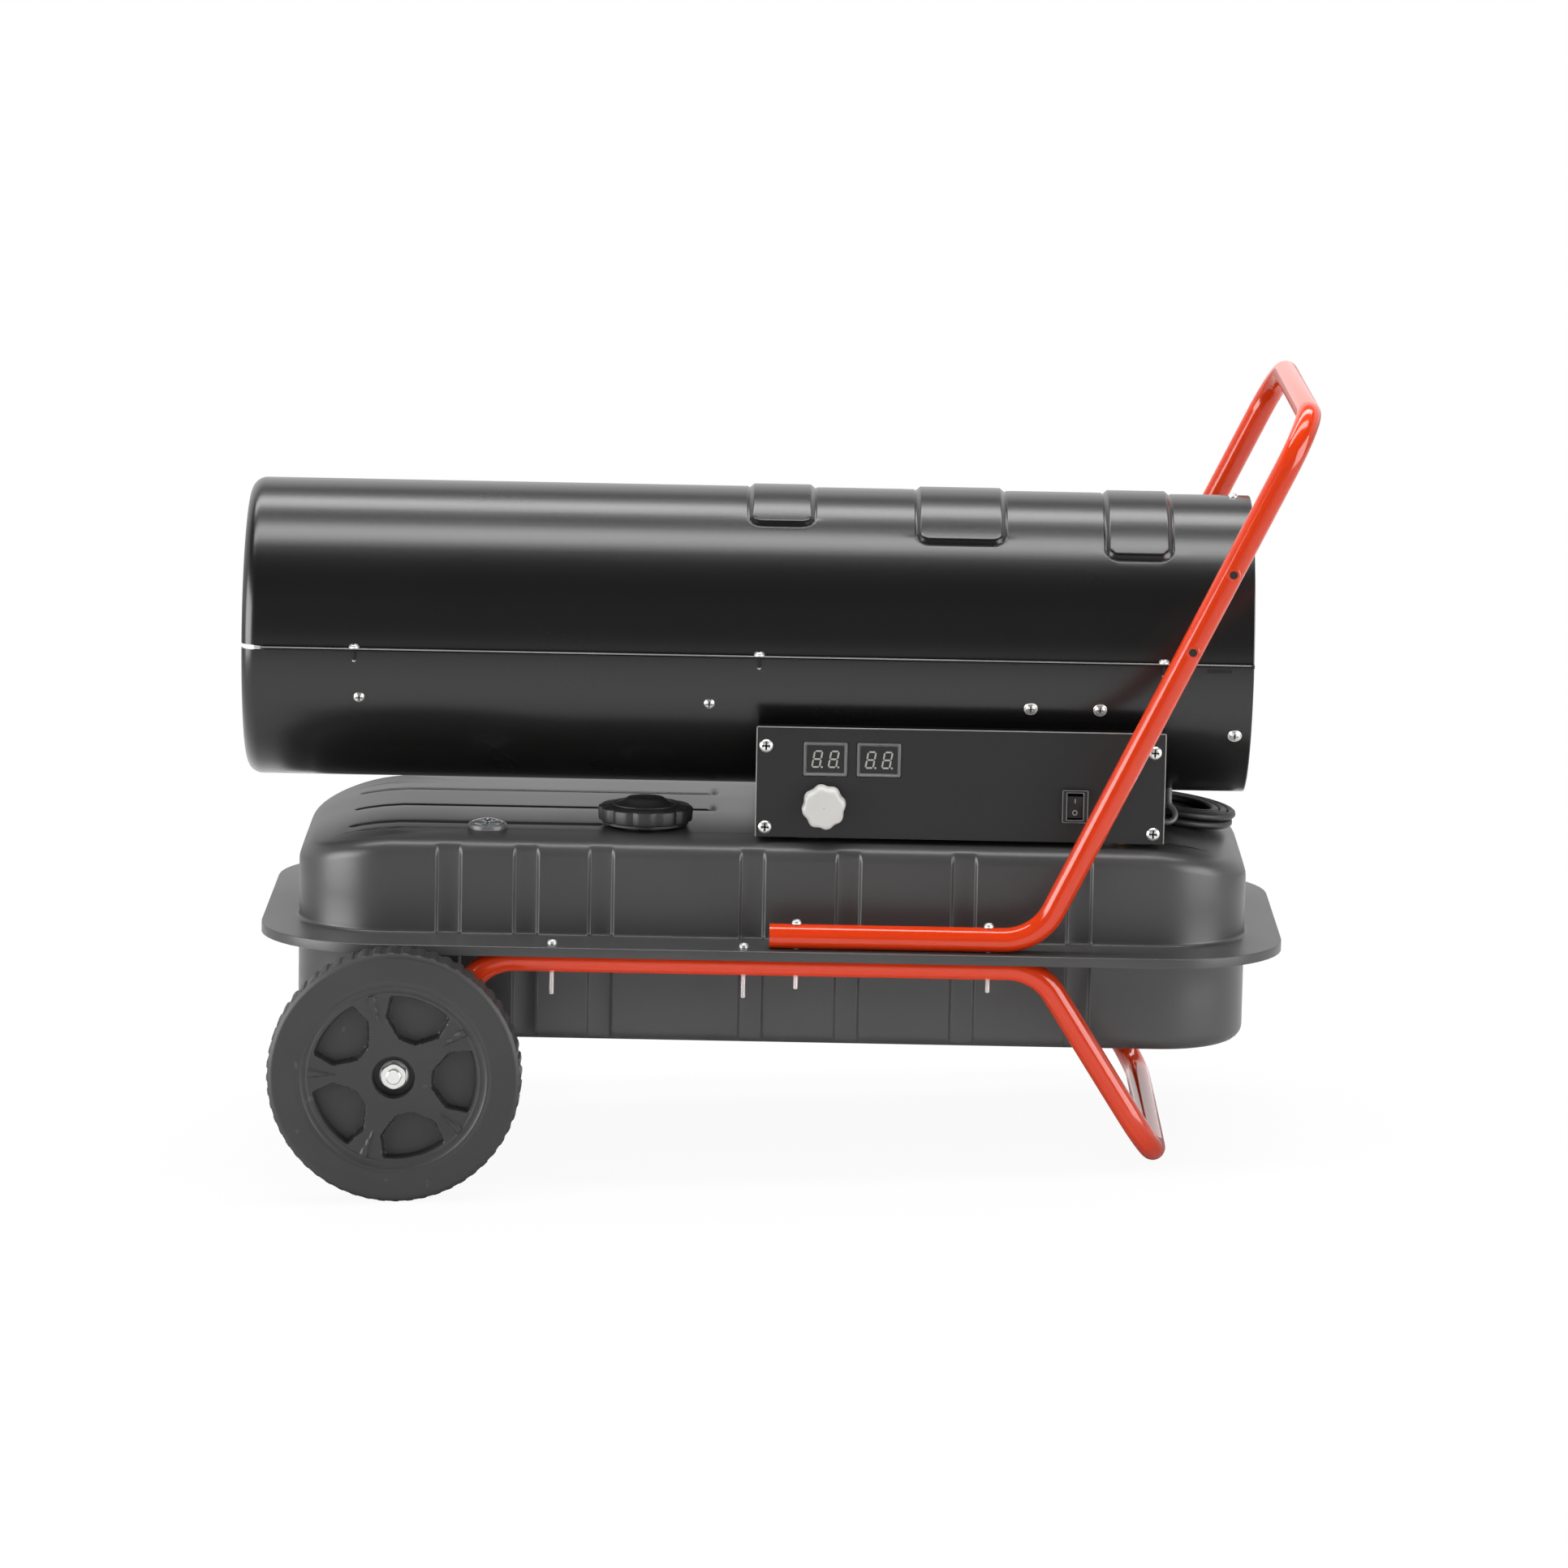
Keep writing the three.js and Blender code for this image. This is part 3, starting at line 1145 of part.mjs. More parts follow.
// ---------------------------------------------------------------- mains cord
// The lower layer of the coil spirals in and the upper layer out again; the half turn between them climbs
// from one to the other. The tail leaves the lower layer towards +Y and the lead reaches the upper one
// from the box, along +X.
function coilStations() {
  const tilt = new THREE.Matrix4().makeRotationY(radians(COIL_SLOPE));
  tilt.setPosition(COIL_X, CORD_Y - COIL_OUTER, crownedTop(COIL_X) + SEAT_GAP);
  const total = 360 * COIL_TURNS;
  const steps = Math.round(COIL_TURNS * COIL_TURN_STEPS);
  return Array.from({ length: steps + 1 }, (_, i) => {
    const turned = (total * i) / steps;
    const angle = Math.PI + radians(turned);
    const radius = COIL_OUTER - (COIL_STEP * Math.min(turned, total - turned)) / 360;
    const layer = THREE.MathUtils.smoothstep(turned, total / 2 - 90, total / 2 + 90);
    const height = CORD_DIAMETER / 2 + layer * COIL_STEP;
    const point = new THREE.Vector3(radius * Math.cos(angle), radius * Math.sin(angle), height);
    const tangent = new THREE.Vector3(-Math.sin(angle), Math.cos(angle), 0);
    return { point: point.applyMatrix4(tilt), tangent: tangent.transformDirection(tilt) };
  });
}

const coil = coilStations();

// a point on the cord's line, some distance before the coil's first station or past its last
function beyondCoil(station, distance) {
  return station.point.clone().addScaledVector(station.tangent, distance).toArray();
}

const cordTube = (corners, bend) => tube(bentStations(corners, bend, 4), CORD_DIAMETER / 2, 8);
const leadEnd = beyondCoil(coil.at(-1), SEAT_GAP);
const glandZ = leadEnd[2] + (leadEnd[0] - boxRear - GLAND_LENGTH - 10) * Math.tan(radians(COIL_SLOPE));

function cordLead() {
  const straight = [boxRear + GLAND_LENGTH + 10, CORD_Y, glandZ];
  return cordTube([[boxRear - 12, CORD_Y, glandZ], straight, leadEnd], 40);
}

function cordGland() {
  const bore = CORD_DIAMETER / 2 + SEAT_GAP;
  const neck = CORD_DIAMETER / 2 + 2 - SEAT_GAP;
  const out = boxRear + SEAT_GAP;
  const profile = [
    [bore, boxRear - BOX_SHEET - 3],
    [neck, boxRear - BOX_SHEET - 3],
    [neck, out],
    [GLAND_RADIUS, out],
    [GLAND_RADIUS, out + 4],
    [neck + 1.4, out + 5],
    [neck, boxRear + GLAND_LENGTH],
    [bore, boxRear + GLAND_LENGTH],
    [bore, boxRear - BOX_SHEET - 3],
  ];
  return lathe("x", profile, [0, CORD_Y, glandZ], 12);
}

const plugZ = TANK_TOP + SEAT_GAP + PLUG_RADIUS * PLUG_FLATTENING;

// along the tank's top, under the lead
function cordTail() {
  const [x, y, z] = beyondCoil(coil[0], -SEAT_GAP);
  const lying = TANK_TOP + SEAT_GAP + CORD_DIAMETER / 2 + 0.5;
  const corners = [
    [x, y, z],
    [x, y + 6, z],
    [x, y + 22, lying],
    [x, PLUG_Y - 21, lying],
    [x, PLUG_Y - 7, plugZ],
    [x, PLUG_Y - SEAT_GAP, plugZ],
  ];
  return cordTube(corners, 30);
}

// moulded two-pin plug, with a tapered grip where the cord goes in
function cordPlug() {
  const x = beyondCoil(coil[0], 0)[0];
  const grip = [[0, 0], [5, 0], [7, 14], [PLUG_RADIUS, 20], [PLUG_RADIUS, PLUG_LENGTH], [0, PLUG_LENGTH]];
  const body = lathe("y", grip, [0, 0, 0], 16).scale([1, 1, PLUG_FLATTENING]);
  const pins = [-1, 1].map((side) =>
    bar("y", PLUG_LENGTH - 2, PLUG_LENGTH + PIN_LENGTH, PIN_RADIUS, [side * 8.5, 0, 0], 8));
  return join(body, ...pins).translate([x, PLUG_Y, plugZ]);
}

// ---------------------------------------------------------------- assembly
const heater = new THREE.Group();

function add(name, made, material) {
  const mesh = new THREE.Mesh(toGeometry(made), material);
  mesh.name = name;
  heater.add(mesh);
}

add("tank_upper", tankUpper(), TANK_BLACK);
add("tank_lower", tankLower(), TANK_BLACK);
add("filler_neck", fillerNeck(), ZINC);
add("cap_gasket", capGasket(), RUBBER);
add("fuel_cap", fuelCap(), BLACK_PLASTIC);
add("fuel_strainer", fuelStrainer(), ZINC);
add("gauge_body", gaugeBody(), ZINC);
add("gauge_pointer", gaugePointer(), RED_PAINT);
add("gauge_lens", gaugeLens(), CLEAR);
add("float_arm", floatArm(), BRASS);
add("drain_plug", drainPlug(), ZINC);
add("fuel_pickup", fuelPickup(), BRASS);

add("upper_shell", upperShell(), BARREL_BLACK);
add("lower_shell", lowerShell(), BARREL_BLACK);
add("combustion_chamber", combustionChamber(), HOT_STEEL);
add("outlet_baffle", outletBaffle(), HOT_STEEL);
add("burner_head", burnerHead(), HOT_STEEL);
add("nozzle", nozzle(), BRASS);
add("igniter", igniter(), CERAMIC);
add("photocell", photocell(), BLACK_PLASTIC);
add("motor_body", motorBody(), TANK_BLACK);
add("motor_bracket", motorBracket(), ZINC);
add("motor_shaft", motorShaft(), ZINC);
add("fan_rotor", fanRotor(), ALUMINIUM);
add("pump_body", pumpBody(), ALUMINIUM);
add("pump_rotor", pumpRotor(), HOT_STEEL);
add("filter_cover", filterCover(), BLACK_PLASTIC);
add("intake_guard", intakeGuard(), ZINC);
add("air_hose", airHose(), CLEAR);
add("fuel_hose", fuelHose(), CLEAR);

add("control_box", controlBox(), PANEL_BLACK);
add("control_panel", controlPanel(), PANEL_BLACK);
add("display_left", display(DISPLAY_X[0]), BLACK_PLASTIC);
add("display_right", display(DISPLAY_X[1]), BLACK_PLASTIC);
add("control_board", controlBoard(), BOARD_GREEN);
add("thermostat_body", thermostatBody(), ZINC);
add("thermostat_knob", thermostatKnob(), GREY_PLASTIC);
add("switch_body", switchBody(), BLACK_PLASTIC);
add("switch_rocker", switchRocker(), BLACK_PLASTIC);
add("ignition_transformer", ignitionTransformer(), BLACK_PLASTIC);

add("base_frame", baseFrame(), RED_PAINT);
add("handle_frame", handleFrame(), RED_PAINT);
add("axle", axle(), ZINC);
add("wheel_left", wheel(-1), WHEEL_PLASTIC);
add("wheel_right", wheel(1), WHEEL_PLASTIC);
add("axle_nut_left", axleNut(-1), ZINC);
add("axle_nut_right", axleNut(1), ZINC);
for (const [side, y] of [["left", -RAIL_Y], ["right", RAIL_Y]]) {
  HANDLE_SCREW_X.forEach((x, i) => {
    add(`handle_screw_${side}_${i + 1}`, railScrew([x, y], handleZ + TUBE_RADIUS, HANDLE_SCREW_TAIL), ZINC);
  });
  FLANGE_SCREW_X.forEach((x, i) => {
    add(`flange_screw_${side}_${i + 1}`, railScrew([x, y], flangeTop, FLANGE_SCREW_TAIL), ZINC);
  });
}

add("cord_gland", cordGland(), RUBBER);
add("cord_lead", cordLead(), RUBBER);
add("cord_coil", tube(coil, CORD_DIAMETER / 2, COIL_SIDES), RUBBER);
add("cord_tail", cordTail(), RUBBER);
add("cord_plug", cordPlug(), RUBBER);

// ---------------------------------------------------------------- standing on the wheels and the foot
// The ground line touches the wheels and the foot tube; the heater is leaned back by its slope.
const footRun = FOOT_X - WHEEL_X;
const footRise = WHEEL_Z - FOOT_Z;
const slope = Math.asin((WHEEL_RADIUS - TUBE_RADIUS) / Math.hypot(footRun, footRise));
const lean = slope - Math.atan2(footRise, footRun);
const leanMatrix = new THREE.Matrix4().makeRotationY(lean);
const bounds = new THREE.Box3();
for (const mesh of heater.children) {
  mesh.geometry.applyMatrix4(leanMatrix);
  mesh.geometry.computeBoundingBox();
  if (!mesh.name.startsWith("cord_")) bounds.union(mesh.geometry.boundingBox);
}
const middle = bounds.getCenter(new THREE.Vector3());
for (const mesh of heater.children) {
  mesh.geometry.translate(-middle.x, -middle.y, -bounds.min.z);
}

export default heater;
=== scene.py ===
"""Forced air heater: a black two-shell barrel on a pressed fuel tank, with a control panel, an orange-red
tube frame, two wheels and a push handle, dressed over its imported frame.

Shapes are worked out level, in millimetres, on the heater's own axes (x from the hot outlet to the handle,
y away from the panel, z up, z = 0 on the tank's weld plane) and then leaned back into the row's frame."""
import math

import bmesh
import bpy
import numpy as np
from mathutils import Matrix, Vector


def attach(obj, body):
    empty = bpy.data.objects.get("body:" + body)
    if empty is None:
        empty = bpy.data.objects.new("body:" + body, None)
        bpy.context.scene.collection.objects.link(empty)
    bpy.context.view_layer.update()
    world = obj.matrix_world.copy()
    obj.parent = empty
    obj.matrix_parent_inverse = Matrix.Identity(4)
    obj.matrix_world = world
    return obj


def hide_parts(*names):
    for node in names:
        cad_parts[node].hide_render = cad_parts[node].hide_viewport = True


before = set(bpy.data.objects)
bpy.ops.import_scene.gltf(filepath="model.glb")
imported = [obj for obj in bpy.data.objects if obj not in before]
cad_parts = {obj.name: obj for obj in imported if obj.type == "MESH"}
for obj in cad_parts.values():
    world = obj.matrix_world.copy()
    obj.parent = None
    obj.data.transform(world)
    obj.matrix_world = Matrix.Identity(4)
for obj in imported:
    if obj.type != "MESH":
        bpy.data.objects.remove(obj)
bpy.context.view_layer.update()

# ---------------------------------------------------------------- the heater's own sizes and axes
# tank: length, width and corner radius of its wall and of its flange
TANK = (778.0, 298.0, 73.0)
FLANGE = (836.0, 402.0, 100.0)
TANK_TOP, TANK_BOTTOM, SHOULDER = 82.0, -86.0, 12.0
CHANNELS = np.array((-263.0, -200.0, -139.0, -16.0, 62.0, 156.0, 250.0))
CHANNEL_DEPTH = 3.0
# the pressed top: how far from its middle it stays level, along and across, and how far it falls past that
CROWN_LEVEL, CROWN_FALL = 300.0, 20.0
SIDE_LEVEL, SIDE_FALL = 15.0, 5.0
# each long groove in it: y, the x where it starts and ends, and whether it ends in a short hook
GROOVES = ((72.0, -344.0, -50.5, True), (-5.0, -344.0, -50.5, True), (-79.0, -344.0, -144.0, False))
# barrel
BARREL_R, BARREL_Z = 122.5, 229.5
BARREL_FRONT, BARREL_REAR = -435.5, 388.0
LIP, SHEET = 12.0, 1.2
# pads: x at both ends, and the angle above level of the foot
PADS = ((-24.0, 28.5, 55.6), (113.0, 184.5, 47.5), (267.5, 320.5, 41.8))
# screws: along the parting, and in the side as x, angle above level, radius and washer's radius
PARTING_SCREWS = (-343.0, -14.0, 314.5)
SIDE_SCREWS = ((-339, -19.2, 4.4, 0), (-54, -19.2, 4.4, 0), (207.5, -18.8, 4.5, 5.6),
               (264, -18.8, 4.5, 5.6), (374.5, -29.3, 4.8, 5.8))
# wheels and tubes
WHEEL_X, WHEEL_Z, WHEEL_R = -301.5, -100.3, 102.7
WHEEL_IN, WHEEL_OUT, HUB_FLOOR, HUB_IN = 204.0, 242.0, 226.8, 196.3
SPOKES, LUGS = 5, 56
TUBE_R, TUBE_WALL, BEND_R = 10.0, 1.5, 45.0
RAIL_Y, RAIL_Z, RAIL_FRONT, RAIL_REAR, RAIL_FOOT = 186.0, -11.45, -227.0, 216.4, (315.5, -166.5)
HANDLE_Z, HANDLE_FRONT, HANDLE_REAR, HANDLE_TOP, HANDLE_SLOPE = 11.45, -1.4, 215.6, 439.0, 64.0
# panel, and the middles of the parts on it
PANEL_Y, PANEL_EDGE = -131.5, ((-14.6, 83.2), (-14.6, 173.6), (317.6, 173.6), (317.6, 83.2))
PANEL_SCREWS = [(x, z) for x in (-7.0, 309.0) for z in (91.0, 158.0)]
DISPLAYS = (("left_display", "display_left", 41.3, 147.8), ("right_display", "display_right", 84.8, 147.8))
KNOB_X, KNOB_Z = 40.7, 109.4
SWITCH_X, SWITCH_Z = 245.0, 113.0
# on the tank
CAP_AXIS, CAP_FOOT = (-105.3, -74, 0), 82.0
GAUGE_AXIS, GAUGE_FOOT = (-234.0, -95.0, 0.0), 80.5
# mains cord
CORD_R, CORD_Y, PLUG_Y = 3.3, 66.0, 82.0
COIL_TURNS, COIL_R, COIL_STEP, COIL_X, COIL_Y = 5.75, 46.0, 7.0, 336.5, 20.0
COIL_TILT = math.radians(8)
# inside the barrel
AXIS = (0, 0, BARREL_Z)
GUARD_R, WIRE_R = 119.2, 1.5
NOZZLE_X, PUMP_X = -10.5, 312.3
# it leans until its wheels and its foot both touch the ground, which is a line below their two circles
AHEAD, BELOW = RAIL_FOOT[0] - WHEEL_X, WHEEL_Z - RAIL_FOOT[1]
LEAN = math.asin((WHEEL_R - TUBE_R) / math.hypot(AHEAD, BELOW)) - math.atan2(BELOW, AHEAD)
# and is then shifted, which puts the tread's lowest point and the middle of the length at 0
SHIFT = np.array((-11.32925962, 0.0, 189.92765048))


def turned(points):
    """A direction or point turned by the lean: x cos t + z sin t, and z cos t - x sin t."""
    p = np.asarray(points, float)
    out = p.copy()
    out[..., 0] = p[..., 0] * math.cos(LEAN) + p[..., 2] * math.sin(LEAN)
    out[..., 2] = p[..., 2] * math.cos(LEAN) - p[..., 0] * math.sin(LEAN)
    return out


def in_row(points):
    """Millimetres on the heater's axes to metres in the row's frame: turned by the lean, then shifted."""
    return (turned(points) + SHIFT) * 0.001


def ease(t):
    """0 below 0, 1 above 1, and 3t^2 - 2t^3 between."""
    t = np.clip(t, 0.0, 1.0)
    return t * t * (3 - 2 * t)


# ---------------------------------------------------------------- building surfaces
class Skin:
    """Points and faces of one piece, put together from grids and fans."""

    def __init__(self):
        self.points, self.quads, self.tris, self.count = [], [], [], 0
        self.quad_slots, self.tri_slots = [], []

    def add(self, points):
        """Puts points in, and returns the number that the first of them has."""
        points = np.asarray(points, float).reshape(-1, 3)
        start = self.count
        self.points.append(points)
        self.count += len(points)
        return start

    def grid(self, points, round_rows=False, round_cols=False, slot=0):
        """Faces between the neighbours of a grid of points, each from a point to the next one of its row."""
        m, n = points.shape[:2]
        index = self.add(points) + np.arange(m * n).reshape(m, n)
        if round_cols:
            index = np.hstack([index, index[:, :1]])
        if round_rows:
            index = np.vstack([index, index[:1]])
        quads = np.stack([index[:-1, :-1], index[:-1, 1:], index[1:, 1:], index[1:, :-1]], -1)
        self.quads.append(quads.reshape(-1, 4))
        self.quad_slots.append(np.full(len(self.quads[-1]), slot))
        return index

    def fan(self, ring, slot=0):
        """A flat fan from the mean of a closed ring of points to each of its edges."""
        ring = np.asarray(ring, float)
        start = self.add(ring)
        middle = self.add(ring.mean(0)[None])
        a = start + np.arange(len(ring))
        self.tris.append(np.stack([a, np.roll(a, -1), np.full(len(ring), middle)], -1))
        self.tri_slots.append(np.full(len(ring), slot))

    def solid_of_rings(self, rings, slot=0):
        """A closed body through a stack of closed rings, with a fan at each end."""
        self.grid(rings, round_cols=True, slot=slot)
        self.fan(rings[0], slot)
        self.fan(rings[-1], slot)

    def sheet(self, outer, inner, round_cols=False, slot=0):
        """A sheet with a wall: the outer grid, the inner grid, and strips along their free edges."""
        self.grid(outer, round_cols=round_cols, slot=slot)
        self.grid(inner[::-1], round_cols=round_cols, slot=slot)
        for i in (0, -1):
            self.grid(np.stack([outer[i], inner[i]]), round_cols=round_cols, slot=slot)
        if not round_cols:
            for j in (0, -1):
                self.grid(np.stack([outer[:, j], inner[:, j]]), slot=slot)


def piece(name, skin, body, materials, replaces=(), sharp=35.0, weld=0.002):
    """A mesh object from a skin: doubles merged, normals turned outwards, smooth apart from sharp edges."""
    mesh = bpy.data.meshes.new(name)
    points = in_row(np.vstack(skin.points))
    quads = np.vstack(skin.quads) if skin.quads else np.zeros((0, 4), int)
    tris = np.vstack(skin.tris) if skin.tris else np.zeros((0, 3), int)
    slots = np.concatenate(skin.quad_slots + skin.tri_slots).astype(np.int32)
    mesh.vertices.add(len(points))
    mesh.vertices.foreach_set("co", points.astype(np.float32).ravel())
    mesh.loops.add(quads.size + tris.size)
    mesh.loops.foreach_set("vertex_index", np.concatenate([quads.ravel(), tris.ravel()]).astype(np.int32))
    mesh.polygons.add(len(quads) + len(tris))
    sizes = np.concatenate([np.full(len(quads), 4), np.full(len(tris), 3)])
    mesh.polygons.foreach_set("loop_start", (np.cumsum(sizes) - sizes).astype(np.int32))
    mesh.polygons.foreach_set("material_index", slots)
    mesh.update(calc_edges=True)
    made = bmesh.new()
    made.from_mesh(mesh)
    bmesh.ops.remove_doubles(made, verts=made.verts, dist=weld * 0.001)
    bmesh.ops.dissolve_degenerate(made, dist=1e-7, edges=made.edges)
    bmesh.ops.recalc_face_normals(made, faces=made.faces)
    made.to_mesh(mesh)
    made.free()
    mesh.polygons.foreach_set("use_smooth", np.ones(len(mesh.polygons), bool))
    mesh.set_sharp_from_angle(angle=math.radians(sharp))
    thing = bpy.data.objects.new(name, mesh)
    bpy.context.scene.collection.objects.link(thing)
    for material in materials if isinstance(materials, (list, tuple)) else [materials]:
        mesh.materials.append(material)
    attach(thing, body)
    if replaces:
        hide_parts(*replaces)
    return thing


def circle_angles(sides):
    """Angles of equal steps round a full turn."""
    return np.arange(sides) * (2 * math.pi / sides)


def spun(profile, axis, centre, sides=96, radius_of=None):
    """Rings of a turned body: at each (radius, height) the points radius (cos a, sin a) round an axis
    through centre. radius_of(radius, a, i) may change the radius round the ring."""
    profile = np.asarray(profile, float)
    a = circle_angles(sides)[None, :]
    r = np.repeat(profile[:, :1], sides, 1)
    if radius_of:
        r = radius_of(r, a, np.arange(len(profile))[:, None])
    h = np.repeat(profile[:, 1:2], sides, 1)
    p, q = r * np.cos(a), r * np.sin(a)
    order = {"x": (h, p, q), "y": (p, h, q), "z": (p, q, h)}[axis]
    return np.stack(order, -1) + np.asarray(centre, float)


def corner_path(corners, bend, steps=10):
    """Points along straight runs joined by round bends: each bend is start + b sin(a) along the way in and
    b (1 - cos(a)) towards the way out. Returns points and their directions."""
    c = np.asarray(corners, float)
    points, ways = [c[:1]], [(c[1] - c[0])[None] / np.linalg.norm(c[1] - c[0])]
    for before, corner, after in zip(c[:-2], c[1:-1], c[2:]):
        into = (corner - before) / np.linalg.norm(corner - before)
        away = (after - corner) / np.linalg.norm(after - corner)
        turn = math.acos(np.clip(into @ away, -1, 1))
        inward = away - into * (away @ into)
        inward /= np.linalg.norm(inward)
        a = np.linspace(0, turn, steps + 1)[:, None]
        start = corner - into * bend * math.tan(turn / 2)
        points.append(start + into * bend * np.sin(a) + inward * bend * (1 - np.cos(a)))
        ways.append(into * np.cos(a) + inward * np.sin(a))
    points.append(c[-1:])
    ways.append((c[-1] - c[-2])[None] / np.linalg.norm(c[-1] - c[-2]))
    return np.vstack(points), np.vstack(ways)


def swept(points, ways, radius, sides=32, guide=(0.3, 0.2, 0.93)):
    """Rings round a path: point + r (cos a u + sin a v), where u is the way crossed with a guide that the
    path never follows, and v is the way crossed with u."""
    u = np.cross(ways, np.asarray(guide, float))
    u /= np.linalg.norm(u, axis=1, keepdims=True)
    v = np.cross(ways, u)
    a = circle_angles(sides)[None, :, None]
    r = np.broadcast_to(np.asarray(radius, float), (len(points),))[:, None, None]
    return points[:, None] + r * (np.cos(a) * u[:, None] + np.sin(a) * v[:, None])


def box_rings(x, y, z, bevel=0.4):
    """A box with bevelled edges as rings along y: the outline is inset by the bevel at both ends."""
    def outline(inset):
        x0, x1, z0, z1 = x[0] + inset, x[1] - inset, z[0] + inset, z[1] - inset
        b = bevel
        return np.array([(x0 + b, z0), (x1 - b, z0), (x1, z0 + b), (x1, z1 - b),
                         (x1 - b, z1), (x0 + b, z1), (x0, z1 - b), (x0, z0 + b)])
    rings = []
    for inset, level in ((bevel, y[0]), (0, y[0] + bevel), (0, y[1] - bevel), (bevel, y[1])):
        flat = outline(inset)
        rings.append(np.stack([flat[:, 0], np.full(len(flat), level), flat[:, 1]], -1))
    return np.array(rings)


# ---------------------------------------------------------------- finishes
def add_node(tree, kind, **values):
    """A shader node with inputs set by name, where an underscore stands for a space."""
    node = tree.nodes.new("ShaderNode" + kind)
    for name, value in values.items():
        node.inputs[name.replace("_", " ")].default_value = value
    return node


def finish(name, colour, rough, metal=0.0, grain=350.0, bump=0.08, mottle=0.12, spread=0.06,
           coat=0.0, coat_rough=0.08, ior=1.5, blotch=9.0, wear=None, through=0.0):
    """A procedural finish on Object coordinates: a fine noise lifts the bump, a slow one shifts the colour
    by the mottle and the roughness by the spread, and a third, thresholded, may bring in a second colour
    as wear."""
    material = bpy.data.materials.new(name)
    material.use_nodes = True
    tree = material.node_tree
    link = tree.links.new
    shader = tree.nodes["Principled BSDF"]
    for socket, value in (("Metallic", metal), ("IOR", ior), ("Coat Weight", coat),
                          ("Coat Roughness", coat_rough), ("Transmission Weight", through)):
        shader.inputs[socket].default_value = value
    where = add_node(tree, "TexCoord")

    def noise(scale, detail):
        node = add_node(tree, "TexNoise", Scale=scale, Detail=detail)
        link(where.outputs["Object"], node.inputs["Vector"])
        return node.outputs["Fac"]

    fine, slow = noise(grain, 5), noise(blotch, 4)
    ramp = add_node(tree, "ValToRGB")
    for stop, place, change in zip(ramp.color_ramp.elements, (0.3, 0.7), (-mottle, mottle)):
        stop.position = place
        stop.color = [min(c * (1 + change), 1) for c in colour] + [1]
    link(slow, ramp.inputs["Fac"])
    colour_out = ramp.outputs["Color"]
    if wear:
        worn_colour, amount = wear
        spots = add_node(tree, "MapRange", From_Min=0.72 - amount, From_Max=0.8 - amount)
        link(noise(60.0, 8), spots.inputs["Value"])
        mix = add_node(tree, "Mix")
        mix.data_type = "RGBA"
        link(spots.outputs["Result"], mix.inputs["Factor"])
        link(colour_out, mix.inputs["A"])
        mix.inputs["B"].default_value = (*worn_colour, 1)
        colour_out = mix.outputs["Result"]
    link(colour_out, shader.inputs["Base Color"])
    span = add_node(tree, "MapRange", To_Min=max(rough - spread, 0.03), To_Max=min(rough + spread, 1.0))
    link(slow, span.inputs["Value"])
    link(span.outputs["Result"], shader.inputs["Roughness"])
    relief = add_node(tree, "Bump", Strength=bump, Distance=0.0004)
    link(fine, relief.inputs["Height"])
    link(relief.outputs["Normal"], shader.inputs["Normal"])
    return material


BARREL = finish("barrel_enamel", (0.0070, 0.0070, 0.0068), 0.27, grain=260, bump=0.015, mottle=0.02,
                spread=0.012, coat=0.1, coat_rough=0.2)
TANK_COAT = finish("tank_powder_coat", (0.058, 0.058, 0.058), 0.37, grain=900, bump=0.14, blotch=6)
PANEL_COAT = finish("panel_powder_coat", (0.0040, 0.0040, 0.0040), 0.44, grain=1100, bump=0.16)
RED = finish("orange_red_enamel", (0.74, 0.042, 0.003), 0.14, grain=240, bump=0.0, mottle=0.01, spread=0.01,
             coat=0.2, ior=1.45)
ZINC = finish("zinc_plate", (0.78, 0.78, 0.76), 0.3, metal=0.72, grain=1400, bump=0.2, mottle=0.12)
HOT_STEEL = finish("heat_dulled_steel", (0.36, 0.33, 0.29), 0.42, metal=1.0, grain=500, bump=0.2,
                   mottle=0.2, wear=((0.30, 0.20, 0.12), 0.1))
BRASS = finish("machined_brass", (0.62, 0.42, 0.15), 0.3, metal=1.0, grain=900, bump=0.15)
ALLOY = finish("cast_aluminium", (0.56, 0.57, 0.58), 0.42, metal=1.0, grain=700, bump=0.35)
WHEEL = finish("wheel_moulding", (0.030, 0.030, 0.030), 0.5, grain=1300, bump=0.3, mottle=0.15,
               wear=((0.085, 0.085, 0.085), 0.02))
BLACK = finish("black_moulding", (0.012, 0.012, 0.013), 0.42, grain=1200, bump=0.15)
SATIN = finish("cap_moulding", (0.034, 0.034, 0.034), 0.5, grain=1200, bump=0.25)
GREY = finish("grey_moulding", (0.70, 0.70, 0.67), 0.42, grain=1200, bump=0.1, mottle=0.04)
CERAMIC = finish("glazed_ceramic", (0.80, 0.76, 0.66), 0.25, grain=300, bump=0.05, mottle=0.05)
RUBBER = finish("cord_rubber", (0.013, 0.013, 0.013), 0.5, grain=1500, bump=0.25, mottle=0.2)
HOSE_GREY = finish("hose_plastic", (0.22, 0.225, 0.22), 0.35, grain=700, bump=0.1, mottle=0.1)
CLEAR = finish("clear_plastic", (0.85, 0.88, 0.9), 0.08, grain=400, bump=0.02, mottle=0.02, spread=0.03,
               through=0.9)
BOARD = finish("board_lacquer", (0.025, 0.10, 0.034), 0.35, grain=600, bump=0.2, mottle=0.3)
FRAME_LINE = finish("display_frame", (0.15, 0.155, 0.155), 0.3, grain=700, bump=0.05, mottle=0.06)
WINDOW = finish("display_window", (0.004, 0.004, 0.005), 0.12, grain=300, bump=0.02, mottle=0.1)
SEGMENT = finish("display_segment", (0.42, 0.42, 0.38), 0.5, grain=900, bump=0.05, mottle=0.05)
